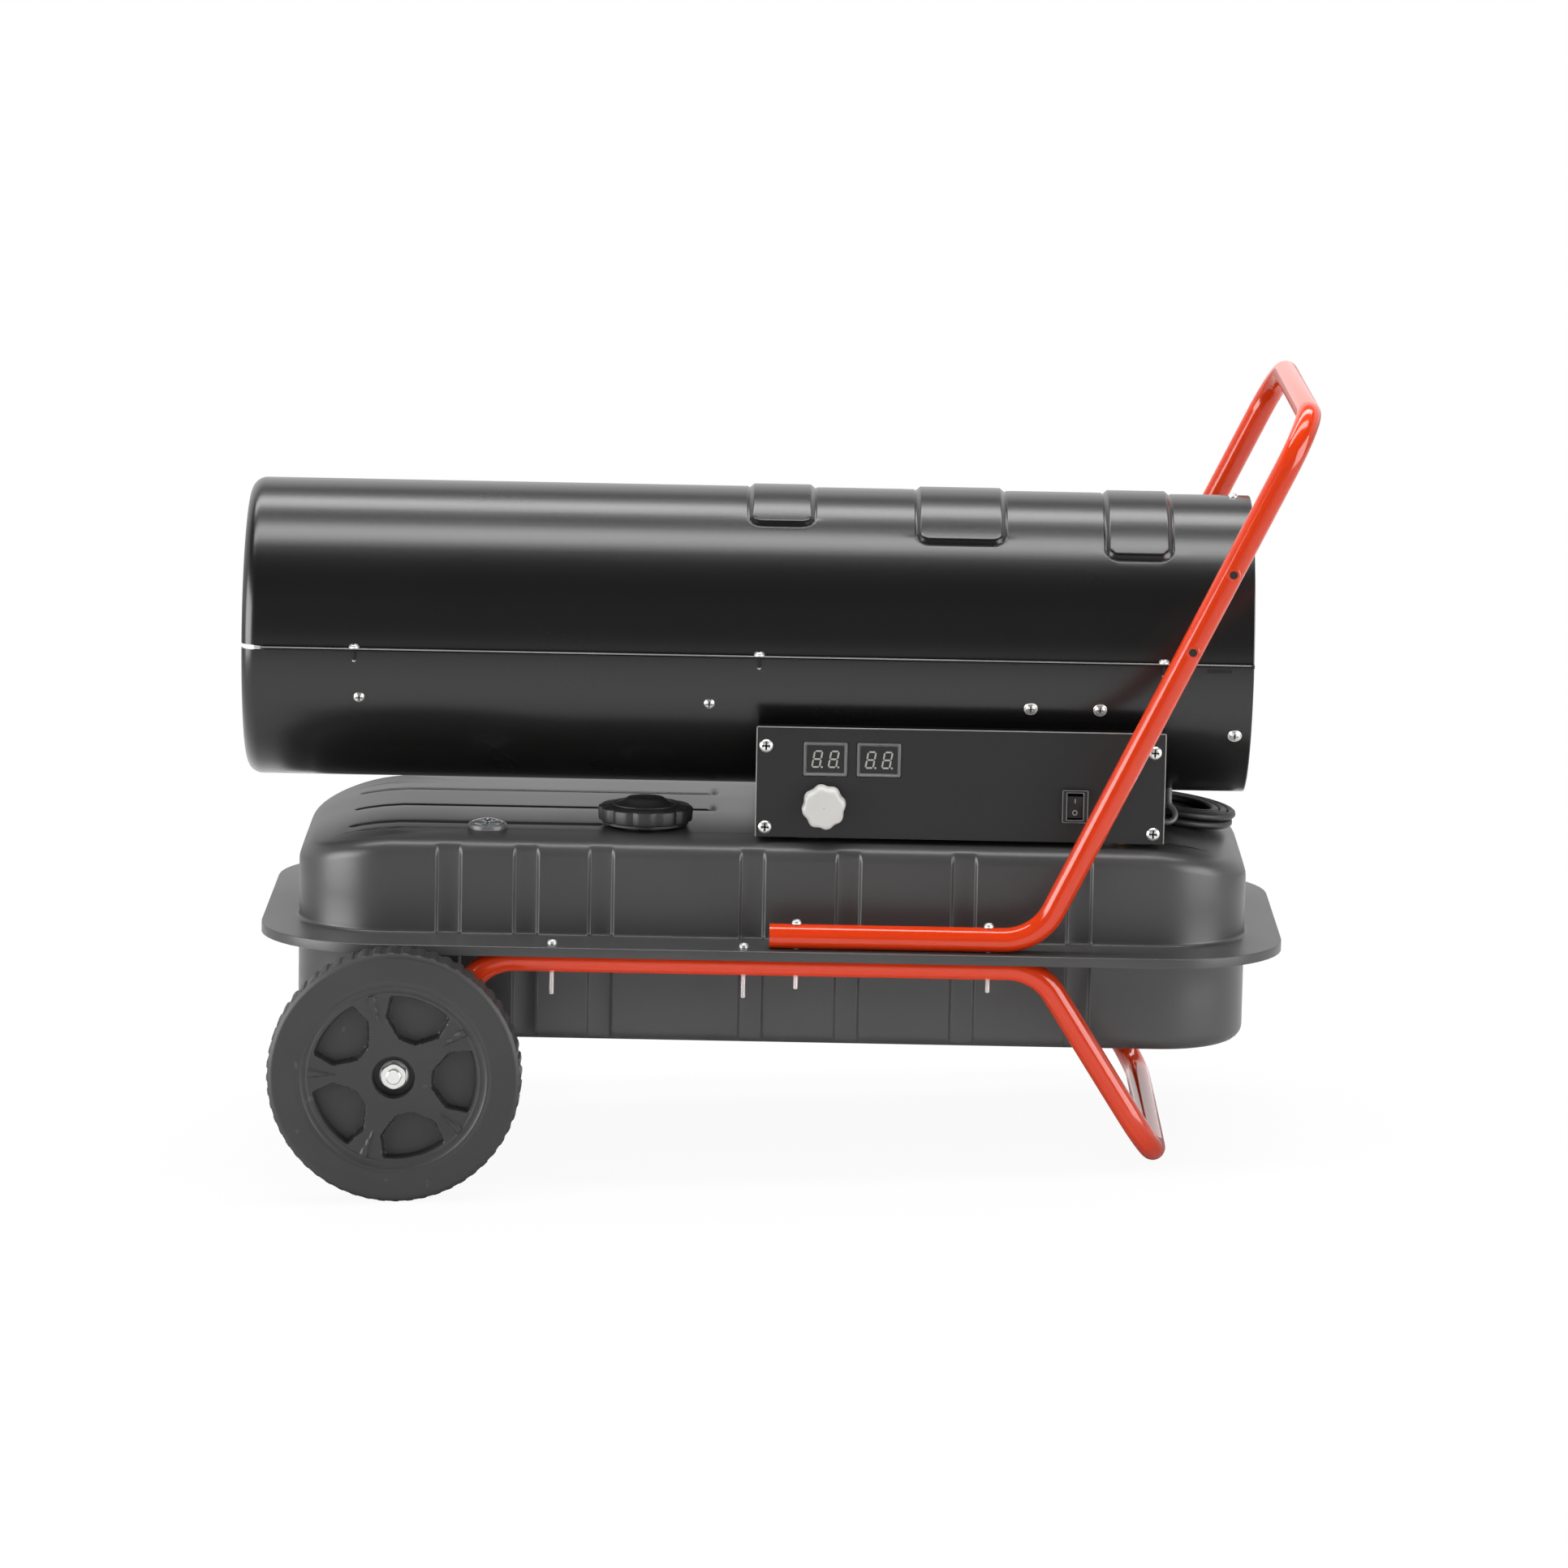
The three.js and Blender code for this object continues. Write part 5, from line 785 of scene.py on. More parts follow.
def upper_tank():
    """Upper half: the pressed top with its grooves, a round shoulder of radius 12, the channelled wall, a
    fillet of radius 3 at its foot, the flange and its turned-down lip, with a wall of 1 mm."""
    skin = Skin()
    edge_x, edge_y = 356.0, 100.0
    fine = np.concatenate([c + np.arange(-6, 6.1, 0.75) for c, _, _, _ in GROOVES])
    y = np.unique(np.round(np.concatenate([np.linspace(-edge_y, edge_y, 12), fine]), 2))
    x = np.unique(np.round(np.concatenate([np.linspace(-edge_x, edge_x, 45), -344 + np.arange(-7, 9, 1.2),
                                           -50 + np.arange(-8, 14, 1.2), -144 + np.arange(-6, 6, 1.2)]), 2))
    x = x[(x >= -edge_x) & (x <= edge_x)]
    gx, gy = np.meshgrid(x, y, indexing="ij")
    z = crowned(gx) - side_fall(gy) - groove_depth(gx, gy)
    skin.sheet(np.stack([gx, gy, z], -1), np.stack([gx, gy, z - 1], -1))
    inner_edge = tank_ring(SHOULDER, crowned)
    # the inner border of the rings is the rectangle of the pressed top, 1 mm under its edge
    lead = inner_edge.copy()
    scale = np.maximum(np.abs(lead[:, 0]) / (edge_x - 1), np.abs(lead[:, 1]) / (edge_y - 1))
    lead[:, :2] /= np.maximum(scale, 1e-6)[:, None]
    lead[:, 2] = crowned(lead[:, 0]) - side_fall(lead[:, 1]) - 0.05
    rings = [lead, (lead + inner_edge) / 2, inner_edge]
    rings[1][:, 2] = crowned(rings[1][:, 0]) - side_fall(rings[1][:, 1])
    for angle in np.radians((12, 25, 38, 50, 62, 75, 90)):
        inset = SHOULDER * (1 - math.sin(angle))
        share = float(ease((math.degrees(angle) - 30) / 60))
        rings.append(tank_ring(inset, lambda v, a=angle: crowned(v) - SHOULDER * (1 - math.cos(a)),
                               CHANNEL_DEPTH * share))
    rings.append(tank_ring(0, 30, CHANNEL_DEPTH))
    for angle in np.radians((0, 22, 45, 68, 90)):
        rings.append(tank_ring(-3 * (1 - math.cos(angle)), 1.15 + 3 * (1 - math.sin(angle)), CHANNEL_DEPTH))
    for inset, z in ((1.2, 1.15), (0.5, 1.05), (0.1, 0.7), (0, 0.1), (0, -6.85), (1, -6.85), (1, 0.15)):
        rings.append(tank_ring(inset, z, plan=FLANGE))
    rings.append(tank_ring(1, 0.15, CHANNEL_DEPTH))
    rings.append(tank_ring(1, lambda v: crowned(v) - SHOULDER - 1, CHANNEL_DEPTH))
    rings.append(tank_ring(SHOULDER, lambda v: crowned(v) - 1))
    last = lead.copy()
    last[:, 2] -= 1
    rings.append(last)
    skin.grid(np.array(rings), round_rows=True, round_cols=True)
    piece("pressed_tank_top", skin, "heater", TANK_COAT, ["tank_upper"], 30)


def lower_tank():
    """Lower half: its flat flange inside the lip, the channelled wall, a round shoulder and the flat
    bottom, with a wall of 1 mm."""
    skin = Skin()
    rings = [tank_ring(1.3, -0.15, plan=FLANGE), tank_ring(1.3, -1.15, plan=FLANGE)]
    for angle in np.radians((90, 45, 0)):
        rings.append(tank_ring(-2 * (1 - math.cos(angle)), -1.15 - 2 * (1 - math.sin(angle)), CHANNEL_DEPTH))
    rings.append(tank_ring(0, -40, CHANNEL_DEPTH))
    for angle in np.radians((90, 75, 60, 45, 30, 15, 0)):
        share = float(ease((math.degrees(angle) - 20) / 60))
        inset, rise = SHOULDER * (1 - math.sin(angle)), SHOULDER * (1 - math.cos(angle))
        rings.append(tank_ring(inset, TANK_BOTTOM + rise, CHANNEL_DEPTH * share))
    bottom = rings[-1]
    outer = rings + [bottom * np.array((0.6, 0.6, 1)), bottom * np.array((0.05, 0.05, 1))]
    inner = [tank_ring(1, -0.15, CHANNEL_DEPTH), tank_ring(1, TANK_BOTTOM + SHOULDER, CHANNEL_DEPTH),
             tank_ring(SHOULDER + 1, TANK_BOTTOM + 1)]
    flat = inner[-1]
    inner += [flat * np.array((0.6, 0.6, 1)), flat * np.array((0.05, 0.05, 1))]
    skin.grid(np.array(outer + inner[::-1]), round_rows=True, round_cols=True)
    piece("pressed_tank_base", skin, "heater", TANK_COAT, ["tank_lower"], 30)


# ---------------------------------------------------------------- filler cap and gauge
def filler_cap():
    """Cap: rings about its axis with twelve shallow hollows, r less 2.2 ((1 - cos 12 a)/2)^5 on the rim,
    a plain skirt below and a tapered grip above, over a bore."""
    skin = Skin()
    z = CAP_FOOT
    stations = np.array((
        (27.6, z + 2.9, 0), (33.0, z + 2.9, 0), (33.0, z + 0.5, 0), (35.0, z + 0.5, 0), (35.5, z + 1.0, 0),
        (35.5, z + 2.9, .1), (37.4, z + 3.2, .7), (38.2, z + 3.8, 1), (38.5, z + 4.8, 1), (39, z + 12.6, 1),
        (38.5, z + 14.2, 1), (37.2, z + 15.0, 1), (35.8, z + 15.4, .8), (31, z + 15.9, .4),
        (25.5, z + 16.7, .1), (21.5, z + 17.6, 0), (18.4, z + 18.9, 0), (16.4, z + 20.6, 0),
        (15.0, z + 21.6, 0), (12.5, z + 21.9, 0), (0.5, z + 21.9, 0)))
    weight = stations[:, 2][:, None]

    def lobed(r, a, i):
        return r - 2.2 * weight * (0.5 - 0.5 * np.cos(12 * a)) ** 5

    outer = spun(stations[:, :2], "z", CAP_AXIS, 144, lobed)
    hollow = spun([(27.6, z + 2.9), (27.6, z + 17), (0.5, z + 17)], "z", CAP_AXIS, 144)
    skin.grid(np.vstack([outer, hollow[::-1]]), round_rows=True, round_cols=True)
    piece("filler_cap", skin, "cap", SATIN, ["fuel_cap"], 32)


def fuel_gauge():
    """Gauge: a turned grey rim on the tank's top, and a low clear dome of height 3 (1 - (r/13)^2)."""
    skin = Skin()
    z = GAUGE_FOOT
    rim = [(13.2, z + 0.7), (13.2, z + 3.0), (13.8, z + 3.4), (14.8, z + 3.3), (15.6, z + 2.6), (16, z + 1.6),
           (16, z - 2), (11.2, z - 2), (11.2, 54), (0.5, 54), (0.5, z + 0.7)]
    skin.grid(spun(rim, "z", GAUGE_AXIS, 72), round_rows=True, round_cols=True)
    ears = [box_rings((-241, -238), (-100, -90), (41, 56)), box_rings((-230, -227), (-100, -90), (41, 56))]
    for rings in ears:
        skin.solid_of_rings(rings)
    skin.solid_of_rings(spun([(1.2, -241), (1.2, -227)], "x", (0, -95, 46), 16))
    piece("gauge_rim", skin, "heater", HOSE_GREY, ["gauge_body"], 35)
    skin = Skin()
    r = np.linspace(12.9, 0.3, 12)
    z = GAUGE_FOOT + 1.3
    top = np.stack([r, z + 2.6 + 3.0 * (1 - (r / 13) ** 2)], -1)
    low = np.stack([r, np.full_like(r, z + 2.0)], -1)
    skin.grid(spun(np.vstack([top, low[::-1]]), "z", GAUGE_AXIS, 64), round_rows=True, round_cols=True)
    piece("gauge_dome", skin, "heater", CLEAR, ["gauge_lens"], 50)


# ---------------------------------------------------------------- tubes
def bent_tube(name, corners, node, holes=()):
    """A bent tube swept along straight runs and bends of one radius. A hole in it is a dark disc inside a
    raised ring."""
    skin = Skin()
    points, ways = corner_path(corners, BEND_R, 14)
    guide = (0.8, 0.6, 0.0)
    outer, inner = (swept(points, ways, r, 40, guide) for r in (TUBE_R, TUBE_R - TUBE_WALL))
    skin.sheet(outer, inner, True)
    for centre, way in holes:
        way = np.asarray(way, float)
        u = np.cross(way, (0.3, 0.3, 0.9))
        u /= np.linalg.norm(u)
        v = np.cross(way, u)
        a = circle_angles(24)[None, :]
        for slot, prof in ((1, ((0.2, -0.6), (3.2, -0.6), (3.3, 0.25), (0.2, 0.25))),
                           (0, ((3.3, -1.4), (6.0, -1.4), (5.6, -0.2), (4.2, 0.5), (3.3, 0.3)))):
            prof = np.array(prof)
            flat = prof[:, :1, None] * (np.cos(a)[..., None] * u + np.sin(a)[..., None] * v)
            skin.grid(np.asarray(centre) + flat + prof[:, 1:, None] * way, True, True, slot)
    piece(name, skin, "heater", [RED, HOLE], [node], 40)


def mirrored(half):
    """Corners (x, z) of the near side, and the same ones back along the far side."""
    near = [(x, -RAIL_Y, z) for x, z in half]
    return near + [(x, RAIL_Y, z) for x, z in reversed(half)]


def add_frames():
    """The push handle, with two holes on either side of each leg, and the rail frame, whose wheel legs end
    14 mm past the axle."""
    top_x = HANDLE_REAR + (HANDLE_TOP - HANDLE_Z) / math.tan(math.radians(HANDLE_SLOPE))
    handle = mirrored([(HANDLE_FRONT, HANDLE_Z), (HANDLE_REAR, HANDLE_Z), (top_x, HANDLE_TOP)])
    holes = [((x, y + (TUBE_R - 0.1) * way, z), (0, way, 0))
             for y in (-RAIL_Y, RAIL_Y) for way in (-1, 1) for x, z in ((364.7, 314.4), (333.9, 251))]
    bent_tube("push_handle", handle, "handle_frame", holes)
    run = np.array((WHEEL_X - RAIL_FRONT, WHEEL_Z - RAIL_Z))
    past = (np.linalg.norm(run) + 14) / np.linalg.norm(run)
    start = (RAIL_FRONT + run[0] * past, RAIL_Z + run[1] * past)
    rail = mirrored([start, (RAIL_FRONT, RAIL_Z), (RAIL_REAR, RAIL_Z), RAIL_FOOT])
    bent_tube("rail_frame", rail, "base_frame")


def add_rail_screws():
    """Eight screws with pan heads and threaded ends below the rails."""
    skin = Skin()
    nodes = []
    for side, y in (("left", -RAIL_Y), ("right", RAIL_Y)):
        for kind, places, seat, tail in (("handle", (20.4, 175.7), HANDLE_Z + TUBE_R, 10.5),
                                         ("flange", (-177.0, -22.0), 1.15, 18.5)):
            for i, x in enumerate(places):
                nodes.append(f"{kind}_screw_{side}_{i + 1}")
                head(skin, (x, y, seat + 0.3), (0, 0, 1), 4.0, 3.4)
                threaded(skin, (x, y), RAIL_Z - TUBE_R - tail, seat + 0.6, 2.1)
    piece("rail_screws", skin, "heater", [ZINC, HOLE], nodes)


# ---------------------------------------------------------------- wheels
def wheel_face(r, a):
    """Height of the outer face, out of the wheel's middle plane: a web that rises 1.9 mm into the tyre, five
    pockets 10 mm deep, thin ring ridges, and narrow gussets on the spokes. In a pocket's own axes, p out
    from the hub and q across, its half width is 8 + 1.22 (p - 31.7) up to 23, then 23 + 0.15 (p - 44)."""
    face = 16.6 + 1.9 * ease((r - 71) / 9.0) - 2.6 * ease((r - 96.5) / 6) ** 2
    face = face + 0.45 * np.exp(-(((r - 69.6) / 0.8) ** 2)) + 0.4 * np.exp(-(((r - 75.5) / 0.7) ** 2))
    face = np.broadcast_to(face, np.broadcast(r, a).shape)
    half_turn = math.pi / SPOKES
    turn = (a - math.radians(-2) + half_turn) % (2 * half_turn) - half_turn
    p, q = r * np.cos(turn), r * np.abs(np.sin(turn))
    half = np.minimum(8 + 1.22 * (p - 31.7), 23 + 0.15 * (p - 44))
    pocket = ease((half - q) / 1.5) * ease((66.8 - r) / 1.5) * ease((p - 30.9) / 1.5)
    face = face - 10.0 * pocket
    spoke = (half_turn - np.abs(turn)) * r
    gusset = ease((3.4 * (r - 44) / 24 - spoke) / 0.9) * ease((69.5 - r) / 1) * ease((r - 44) / 3)
    return face + 2.0 * gusset


def road_wheel(side):
    """Wheel: its outer face is a height over radius and angle, its tread has shallow lugs, R less 1.4 in the
    grooves between them, and its inner side is a plain dish with a hub."""
    skin = Skin()
    sides = 420
    a = circle_angles(sides)[None, :]
    r = np.unique(np.round(np.concatenate([
        np.linspace(17.5, 27, 5), np.arange(27, 36, 0.9), np.linspace(36, 65, 14), np.arange(65, 82, 0.75),
        np.linspace(82, 96, 6), np.linspace(97, 101.6, 8)]), 2))[:, None]
    middle = (WHEEL_IN + WHEEL_OUT) / 2
    face = wheel_face(r, a)
    lug = 0.5 + 0.5 * np.sin(LUGS * a)
    lug = ease((lug - 0.25) / 0.35)
    hub_in = HUB_IN - middle
    rings = [np.stack([rr * np.cos(a[0]), np.full(sides, h), rr * np.sin(a[0])], -1)
             for rr, h in ((6.4, HUB_FLOOR - middle), (16.6, HUB_FLOOR - middle), (17.1, 15.6))]
    rings += list(np.stack([r * np.cos(a), face, r * np.sin(a)], -1))
    for rr, h, w in ((102.4, 14.5, 1), (WHEEL_R, 12, 1), (WHEEL_R, 4, 1), (WHEEL_R, -4, 1), (WHEEL_R, -12, 1),
                     (102.3, -14.5, 1), (99.5, -17.6, 0), (96, -19, 0), (75, -18.4, 0), (73, -19, 0),
                     (20, -19, 0), (18, hub_in, 0), (6.4, hub_in, 0)):
        radius = rr - 1.4 * w * (1 - lug[0])
        rings.append(np.stack([radius * np.cos(a[0]), np.full(sides, float(h)), radius * np.sin(a[0])], -1))
    rings = np.array(rings)
    rings[..., 1] = side * (rings[..., 1] + middle)
    rings += np.array((WHEEL_X, 0, WHEEL_Z))
    skin.grid(rings, round_rows=True, round_cols=True)
    name = "left" if side < 0 else "right"
    piece(f"road_wheel_{name}", skin, f"{name}_wheel", WHEEL, [f"wheel_{name}"], 32)


def add_axle_ends():
    """Axle with chamfered threaded ends, and a flanged hexagon nut on each: the hexagon's radius is
    9.5 / cos(a) within each sixth, cut by a chamfer."""
    skin = Skin()
    end = HUB_FLOOR + 13
    x = np.concatenate([[-end, -end + 0.8], np.arange(-end + 1.2, -end + 13, 0.6),
                        [-HUB_FLOOR + 14, HUB_FLOOR - 14]])
    r = np.concatenate([[5.2, 6.0], 6.0 - 0.35 * (np.arange(len(x) - 4) % 2), [6, 6]])
    x2 = -x[:-2][::-1]
    prof = np.stack([np.concatenate([r, r[:-2][::-1]]), np.concatenate([x, x2])], -1)
    skin.solid_of_rings(spun(prof, "y", (WHEEL_X, 0, WHEEL_Z), 32))
    piece("wheel_axle", skin, "heater", ZINC, ["axle"])
    for side, name in ((-1, "left"), (1, "right")):
        skin = Skin()
        low = HUB_FLOOR + 0.3
        # radius, height, and the radius that bounds the hexagon there: 0 where the ring is round
        stations = np.array(((6.2, 0, 0), (12, 0, 0), (12, 0.9, 0), (11.2, 1.4, 0), (9.6, 1.5, 99),
                             (11.4, 7.6, 99), (10.2, 9, 9.9), (9.2, 9, 0), (6.2, 9, 0)))

        def hexed(r, a, i):
            flat = 9.5 / np.cos((a + math.pi / 6) % (math.pi / 3) - math.pi / 6)
            limit = stations[:, 2:]
            return np.where(limit > 0, np.minimum(flat, limit), r)

        prof = [(r, side * (low + h)) for r, h, _ in stations]
        skin.grid(spun(prof, "y", (WHEEL_X, 0, WHEEL_Z), 72, hexed), round_rows=True, round_cols=True)
        piece(f"hub_nut_{name}", skin, "heater", ZINC, [f"axle_nut_{name}"])


# ---------------------------------------------------------------- control panel
def add_panel_details():
    """A light bead along the panel's top and side edges, painted as the highlight that the sheet's edge
    catches, and four pan screws.
    """
    skin = Skin()
    line, ways = corner_path([(x, PANEL_Y - 0.1, z) for x, z in PANEL_EDGE], 1.2, 5)
    skin.solid_of_rings(swept(line, ways, 0.45, 10, (0, 1, 0)))
    piece("panel_edge_highlight_bead", skin, "heater", PAINTED_EDGE_HIGHLIGHT)
    skin = Skin()
    for x, z in PANEL_SCREWS:
        head(skin, (x, PANEL_Y, z), (0, -1, 0), 5.3, 2.7)
    piece("panel_screws", skin, "heater", [ZINC, HOLE])


# each bar of a digit: its middle across and up, in half widths and half heights, and whether it stands
SEGMENTS = ((0, 1, 0), (1, 0.5, 1), (1, -0.5, 1), (0, -1, 0), (-1, -0.5, 1), (-1, 0.5, 1), (0, 0, 0))


def segment_bars(skin, centre_x, centre_z, y, slot):
    """Seven pointed bars of one digit and its point, on a slant of ten degrees: x + z tan(10)."""
    half_w, half_h, stroke = 3.1, 6.55, 0.68
    slant = math.tan(math.radians(10))
    for across, up, upright in SEGMENTS:
        mid = np.array((across * half_w, up * half_h))
        long = (half_h / 2 if upright else half_w) - 0.35
        shoulder = long - stroke
        shape = np.array(((-long, 0), (-shoulder, stroke), (shoulder, stroke), (long, 0),
                          (shoulder, -stroke), (-shoulder, -stroke)))
        if upright:
            shape = shape[:, ::-1]
        flat = mid + shape
        flat = np.stack([flat[:, 0] + flat[:, 1] * slant, flat[:, 1]], -1) + (centre_x, centre_z)
        rings = [np.stack([flat[:, 0], np.full(6, level), flat[:, 1]], -1) for level in (y, y + 0.25)]
        skin.solid_of_rings(np.array(rings), slot)
    dot_place = (centre_x + 5.0 - half_h * slant, 0, centre_z - half_h)
    skin.solid_of_rings(spun([(0.85, y), (0.85, y + 0.25)], "y", dot_place, 16), slot)


def display(name, node, x, z):
    """Display: a bevelled grey frame whose section steps in to a dark window, and two slanted digits."""
    skin = Skin()
    # the frame's section, as inset from its outline against distance in front of the panel
    section = ((0, 10.5), (0, 0.2), (0.5, -0.9), (1.0, -1.2), (1.6, -1.2), (2.0, -0.8), (2.3, -0.2),
               (2.8, 0.4), (2.8, 10.5))
    rings = []
    for inset, y in section:
        w, h, c = 18 - inset, 14 - inset, 0.8
        flat = np.array(((c - w, -h), (w - c, -h), (w, c - h), (w, h - c),
                         (w - c, h), (c - w, h), (-w, h - c), (-w, c - h)))
        rings.append(np.stack([flat[:, 0] + x, np.full(8, PANEL_Y + y), flat[:, 1] + z], -1))
    skin.grid(np.array(rings), round_rows=True, round_cols=True, slot=0)
    window = box_rings((x - 15.3, x + 15.3), (PANEL_Y + 0.3, PANEL_Y + 10.3), (z - 11.3, z + 11.3), 0.2)
    skin.solid_of_rings(window, 1)
    for side in (-6.7, 6.7):
        segment_bars(skin, x + side, z, PANEL_Y + 0.1, 2)
    piece(name, skin, "heater", [FRAME_LINE, WINDOW, SEGMENT], [node], 25)


def knob():
    """Knob: rings about its axis with eight shallow hollows, r less 1.5 ((1 - cos 8 a)/2)^1.3 on the grip and
    fading into a flat, slightly dished face."""
    skin = Skin()
    back = PANEL_Y - 0.3
    stations = np.array((
        (3.5, 0, 0), (16.6, 0, .8), (17.6, .6, 1), (18.2, 1.6, 1), (17.7, 12.3, 1), (17.2, 13.6, 1),
        (16.3, 14.5, .9), (15.0, 14.95, .6), (13.2, 15.0, .2), (12.2, 14.8, 0), (4, 14.5, 0), (0.4, 14.5, 0),
        (0.4, 4, 0), (3.5, 4, 0)))
    weight = stations[:, 2][:, None]

    def lobed(r, a, i):
        return r - 1.5 * weight * (0.5 - 0.5 * np.cos(8 * (a - 0.2))) ** 1.3

    prof = np.stack([stations[:, 0], back - stations[:, 1]], -1)
    skin.grid(spun(prof, "y", (KNOB_X, 0, KNOB_Z), 144, lobed), round_rows=True, round_cols=True)
    piece("dial_knob", skin, "thermostat", GREY, ["thermostat_knob"], 35)


def switch_details():
    """Thin light frame round the rocker's well, and the marks of on and off on the rocker's two faces."""
    skin = Skin()
    x, z = SWITCH_X, SWITCH_Z
    for (w, h, r, y) in ((10.2, 13.2, 0.4, -2.75), (6.9, 11.4, 0.45, -2.8)):
        outline = ((0, -h), (w, -h), (w, h), (-w, h), (-w, -h), (0, -h))
        line, ways = corner_path([(x + across, PANEL_Y + y, z + up) for across, up in outline], 0.8, 4)
        skin.grid(swept(line, ways, r, 8, (0, 1, 0)), round_cols=True)
    piece("switch_frame", skin, "heater", FRAME_LINE)
    # marks lie on the rocker's faces, which slope by the valley and by its 9 degrees of tilt
    skin = Skin()
    pivot = np.array((x, PANEL_Y + 3, z))

    def on_face(points):
        """(across, up) on the rocker to its tilted face: depth 2.6 + 2 |up| / 9.2, then turned 9 degrees."""
        across, up = points[:, 0], points[:, 1]
        depth = -(2.6 + 2.0 * np.abs(up) / 9.2) - 0.08
        t = math.radians(9)
        out, rise = depth * math.cos(t) - up * math.sin(t), depth * math.sin(t) + up * math.cos(t)
        return pivot + np.stack([across, out, rise], -1)

    stroke = np.array(((-0.35, 3.0), (0.35, 3.0), (0.35, 7.0), (-0.35, 7.0)))
    top = on_face(stroke)
    skin.solid_of_rings(np.array([top, top + (0, 0.3, 0)]))
    a = circle_angles(28)
    rings = []
    for radius, push in ((2.1, 0), (1.45, 0), (1.45, 0.3), (2.1, 0.3)):
        rings.append(on_face(np.stack([radius * np.cos(a), radius * np.sin(a) - 5.0], -1)) + (0, push, 0))
    skin.grid(np.array(rings), round_rows=True, round_cols=True)
    piece("rocker_marks", skin, "rocker", SEGMENT)


# ---------------------------------------------------------------- inside the barrel
def turned_plate(skin, corners, degrees, x0, x1):
    """A plate from x0 to x1 whose four corners (y, z) are turned about the barrel's axis."""
    t = math.radians(degrees)
    corners = np.asarray(corners, float)
    y = corners[:, 0] * math.cos(t) - corners[:, 1] * math.sin(t)
    z = corners[:, 0] * math.sin(t) + corners[:, 1] * math.cos(t) + BARREL_Z
    skin.solid_of_rings(np.array([np.stack([np.full(4, x), y, z], -1) for x in (x0, x1)]))


def add_chamber():
    """Chamber: a tube whose inner side has four ribs 1 exp(-(d/4)^2) high, on four straps to the shell."""
    skin = Skin()
    x = np.linspace(-397.5, -52, 60)
    ribs = 1.0 * np.exp(-(((x[:, None] - np.array((-380, -330, -120, -70))) / 4) ** 2)).sum(1)
    outer = spun(np.stack([np.full_like(x, 82), x], -1), "x", AXIS, 96)
    front = spun([(80.5, -399.5), (82, -399.5)], "x", AXIS, 96)
    inner = spun(np.stack([80.5 - ribs, x], -1), "x", AXIS, 96)
    end = spun([(44.3, -51), (44.3, -49.5), (82, -49.5)], "x", AXIS, 96)
    skin.grid(np.vstack([inner, end, outer[::-1], front[::-1]]), round_rows=True, round_cols=True)
    for x0 in (-339.5, -79.5):
        for degrees in (-40, 40):
            turned_plate(skin, ((-1, -120.6), (-1, -81), (1, -81), (1, -120.6)), degrees, x0, x0 + 20)
    piece("burner_chamber", skin, "heater", HOT_STEEL, ["combustion_chamber"])


def add_outlet():
    """Outlet baffle: a dish 16 mm deep, eased from its middle to a radius of 58, on three arms."""
    skin = Skin()
    r = np.linspace(0.5, 58, 24)
    dish = -16 * (1 - ease(r / 58))
    face, back = (spun(np.stack([r, x + dish], -1), "x", AXIS, 80) for x in (-373.5, -371.5))
    skin.grid(np.vstack([face, back[::-1]]), round_rows=True, round_cols=True)
    for degrees in (0, 120, 240):
        turned_plate(skin, ((-5, 52), (5, 52), (5, 79.4), (-5, 79.4)), degrees, -375.5, -372.5)
    piece("outlet_dish", skin, "heater", HOT_STEEL, ["outlet_baffle"])


def add_guard():
    """Guard at the open rear: three rings of wire and four wires across them."""
    skin = Skin()
    a = circle_angles(96)
    ways = np.stack([np.zeros(96), -np.sin(a), np.cos(a)], -1)
    for share in (1, 2 / 3, 1 / 3):
        radius = GUARD_R * share
        line = np.stack([np.full(96, 382.0), radius * np.cos(a), BARREL_Z + radius * np.sin(a)], -1)
        skin.grid(swept(line, ways, WIRE_R, 10, (1, 0, 0)), round_rows=True, round_cols=True)
    for degrees in (22.5, 67.5, 112.5, 157.5):
        t = math.radians(degrees)
        way = np.array((0, -math.sin(t), math.cos(t)))
        line = np.array((383.5, 0, BARREL_Z)) + np.linspace(-119, 119, 5)[:, None] * way
        skin.solid_of_rings(swept(line, np.repeat(way[None], 5, 0), WIRE_R, 10, (1, 0, 0)))
    piece("rear_guard", skin, "heater", ZINC, ["intake_guard"])


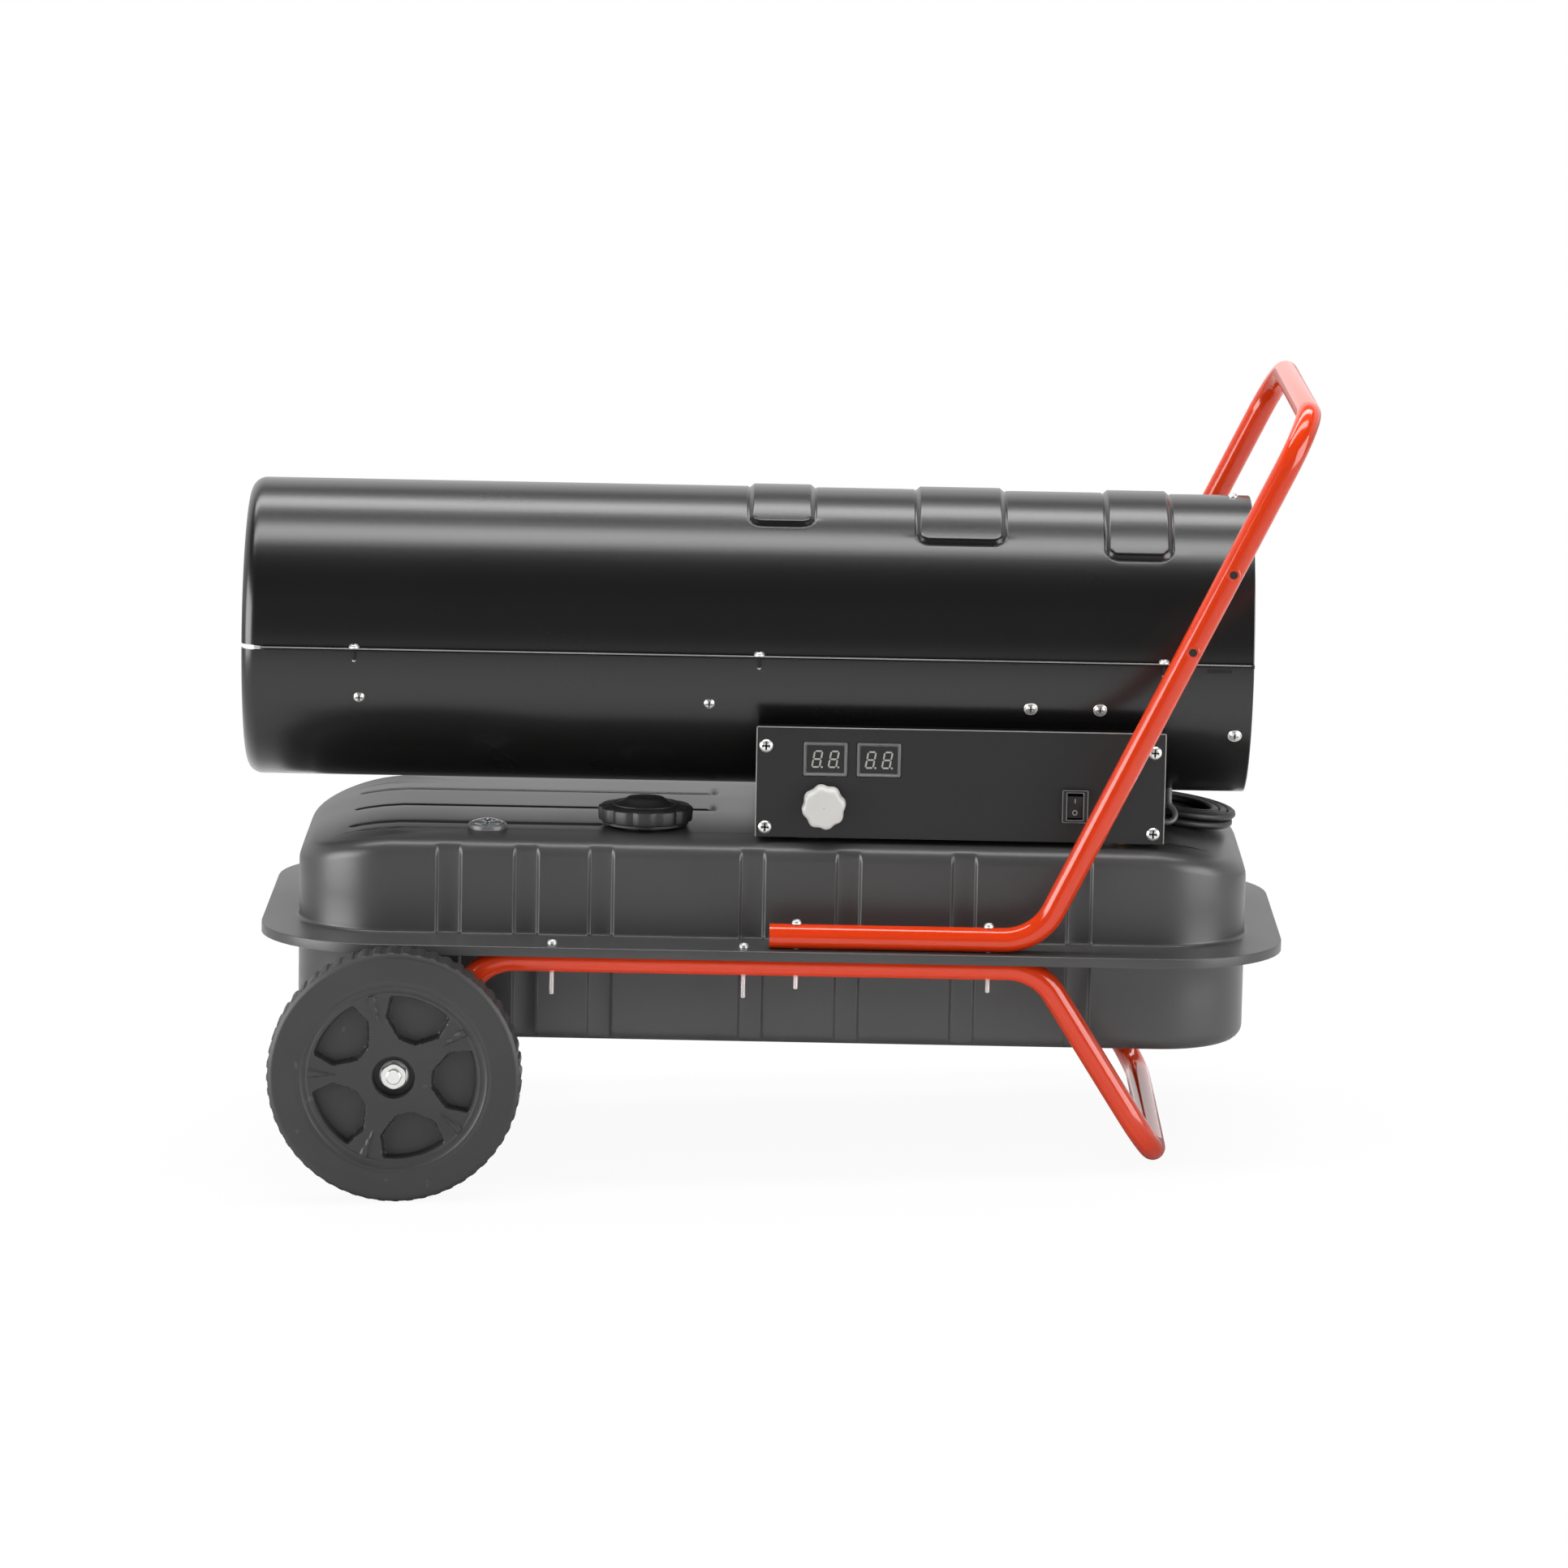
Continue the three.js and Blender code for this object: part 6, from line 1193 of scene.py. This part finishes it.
# (radius, x) round the sections of the turned parts that the open ends show
TURNED_PARTS = (
    ("motor_case", "motor_body", TANK_COAT, "tank_paint", (
        (6.4, 204), (38, 204), (44, 206), (47, 211), (51, 215), (52, 218), (52, 270), (51.2, 271),
        (51.2, 273), (52, 274), (52, 306), (50, 310), (46, 312), (6.4, 312))),
    ("pump_case", "pump_body", ALLOY, "aluminium", (
        (6.4, 312.3), (39, 312.3), (40, 313.3), (40, 335.3), (39, 336.3), (28, 336.3), (28, 318.3),
        (6.4, 318.3))),
    ("filter_cap", "filter_cover", BLACK, "black_plastic", (
        (0.4, 336.6), (40, 336.6), (40, 340.4), (39.4, 341.4), (35.4, 350.4), (33.5, 353), (30, 354.6),
        (12, 354.6), (11, 353.8), (0.4, 353.8))),
)


def add_turned_parts():
    """Motor case, pump case and filter cap, each turned about the barrel's axis."""
    for name, node, material, slot, section in TURNED_PARTS:
        skin = Skin()
        skin.grid(spun(section, "x", AXIS, 72), round_rows=True, round_cols=True)
        piece(name, skin, "heater", material, [node])


# ---------------------------------------------------------------- finishes of the kept nodes
KEPT = (
    (ZINC, ("fuel_strainer", "drain_plug", "motor_bracket", "motor_shaft", "thermostat_body")),
    (BRASS, ("fuel_pickup", "float_arm", "nozzle")),
    (RUBBER, ("cap_gasket",)),
    (HOT_STEEL, ("burner_head", "pump_rotor")),
    (CERAMIC, ("igniter",)),
    # painted shade: the zinc filler_neck and the likely red gauge_pointer are painted black as the shade
    # under the cap's skirt and inside the gauge
    (BLACK, ("filler_neck", "gauge_pointer", "photocell", "switch_body", "switch_rocker",
             "ignition_transformer")),
    (ALLOY, ("fan_rotor",)),
    (PANEL_COAT, ("control_box", "control_panel")),
    (BOARD, ("control_board",)),
)


def dress_nodes():
    """Gives the frame's own nodes, where no piece stands in for them, their finishes."""
    for material, members in KEPT:
        for node in members:
            for place in bpy.data.objects[node].material_slots:
                place.material = material


add_camera()
add_cord()
add_hoses()
add_light()
add_floor()
barrel_half(True)
barrel_half(False)
add_shell_screws()
upper_tank()
lower_tank()
filler_cap()
fuel_gauge()
add_frames()
add_rail_screws()
road_wheel(-1)
road_wheel(1)
add_axle_ends()
add_panel_details()
for unit in DISPLAYS:
    display(*unit)
knob()
switch_details()
add_chamber()
add_outlet()
add_guard()
add_turned_parts()
dress_nodes()
bpy.context.scene.view_settings.view_transform = "Standard"
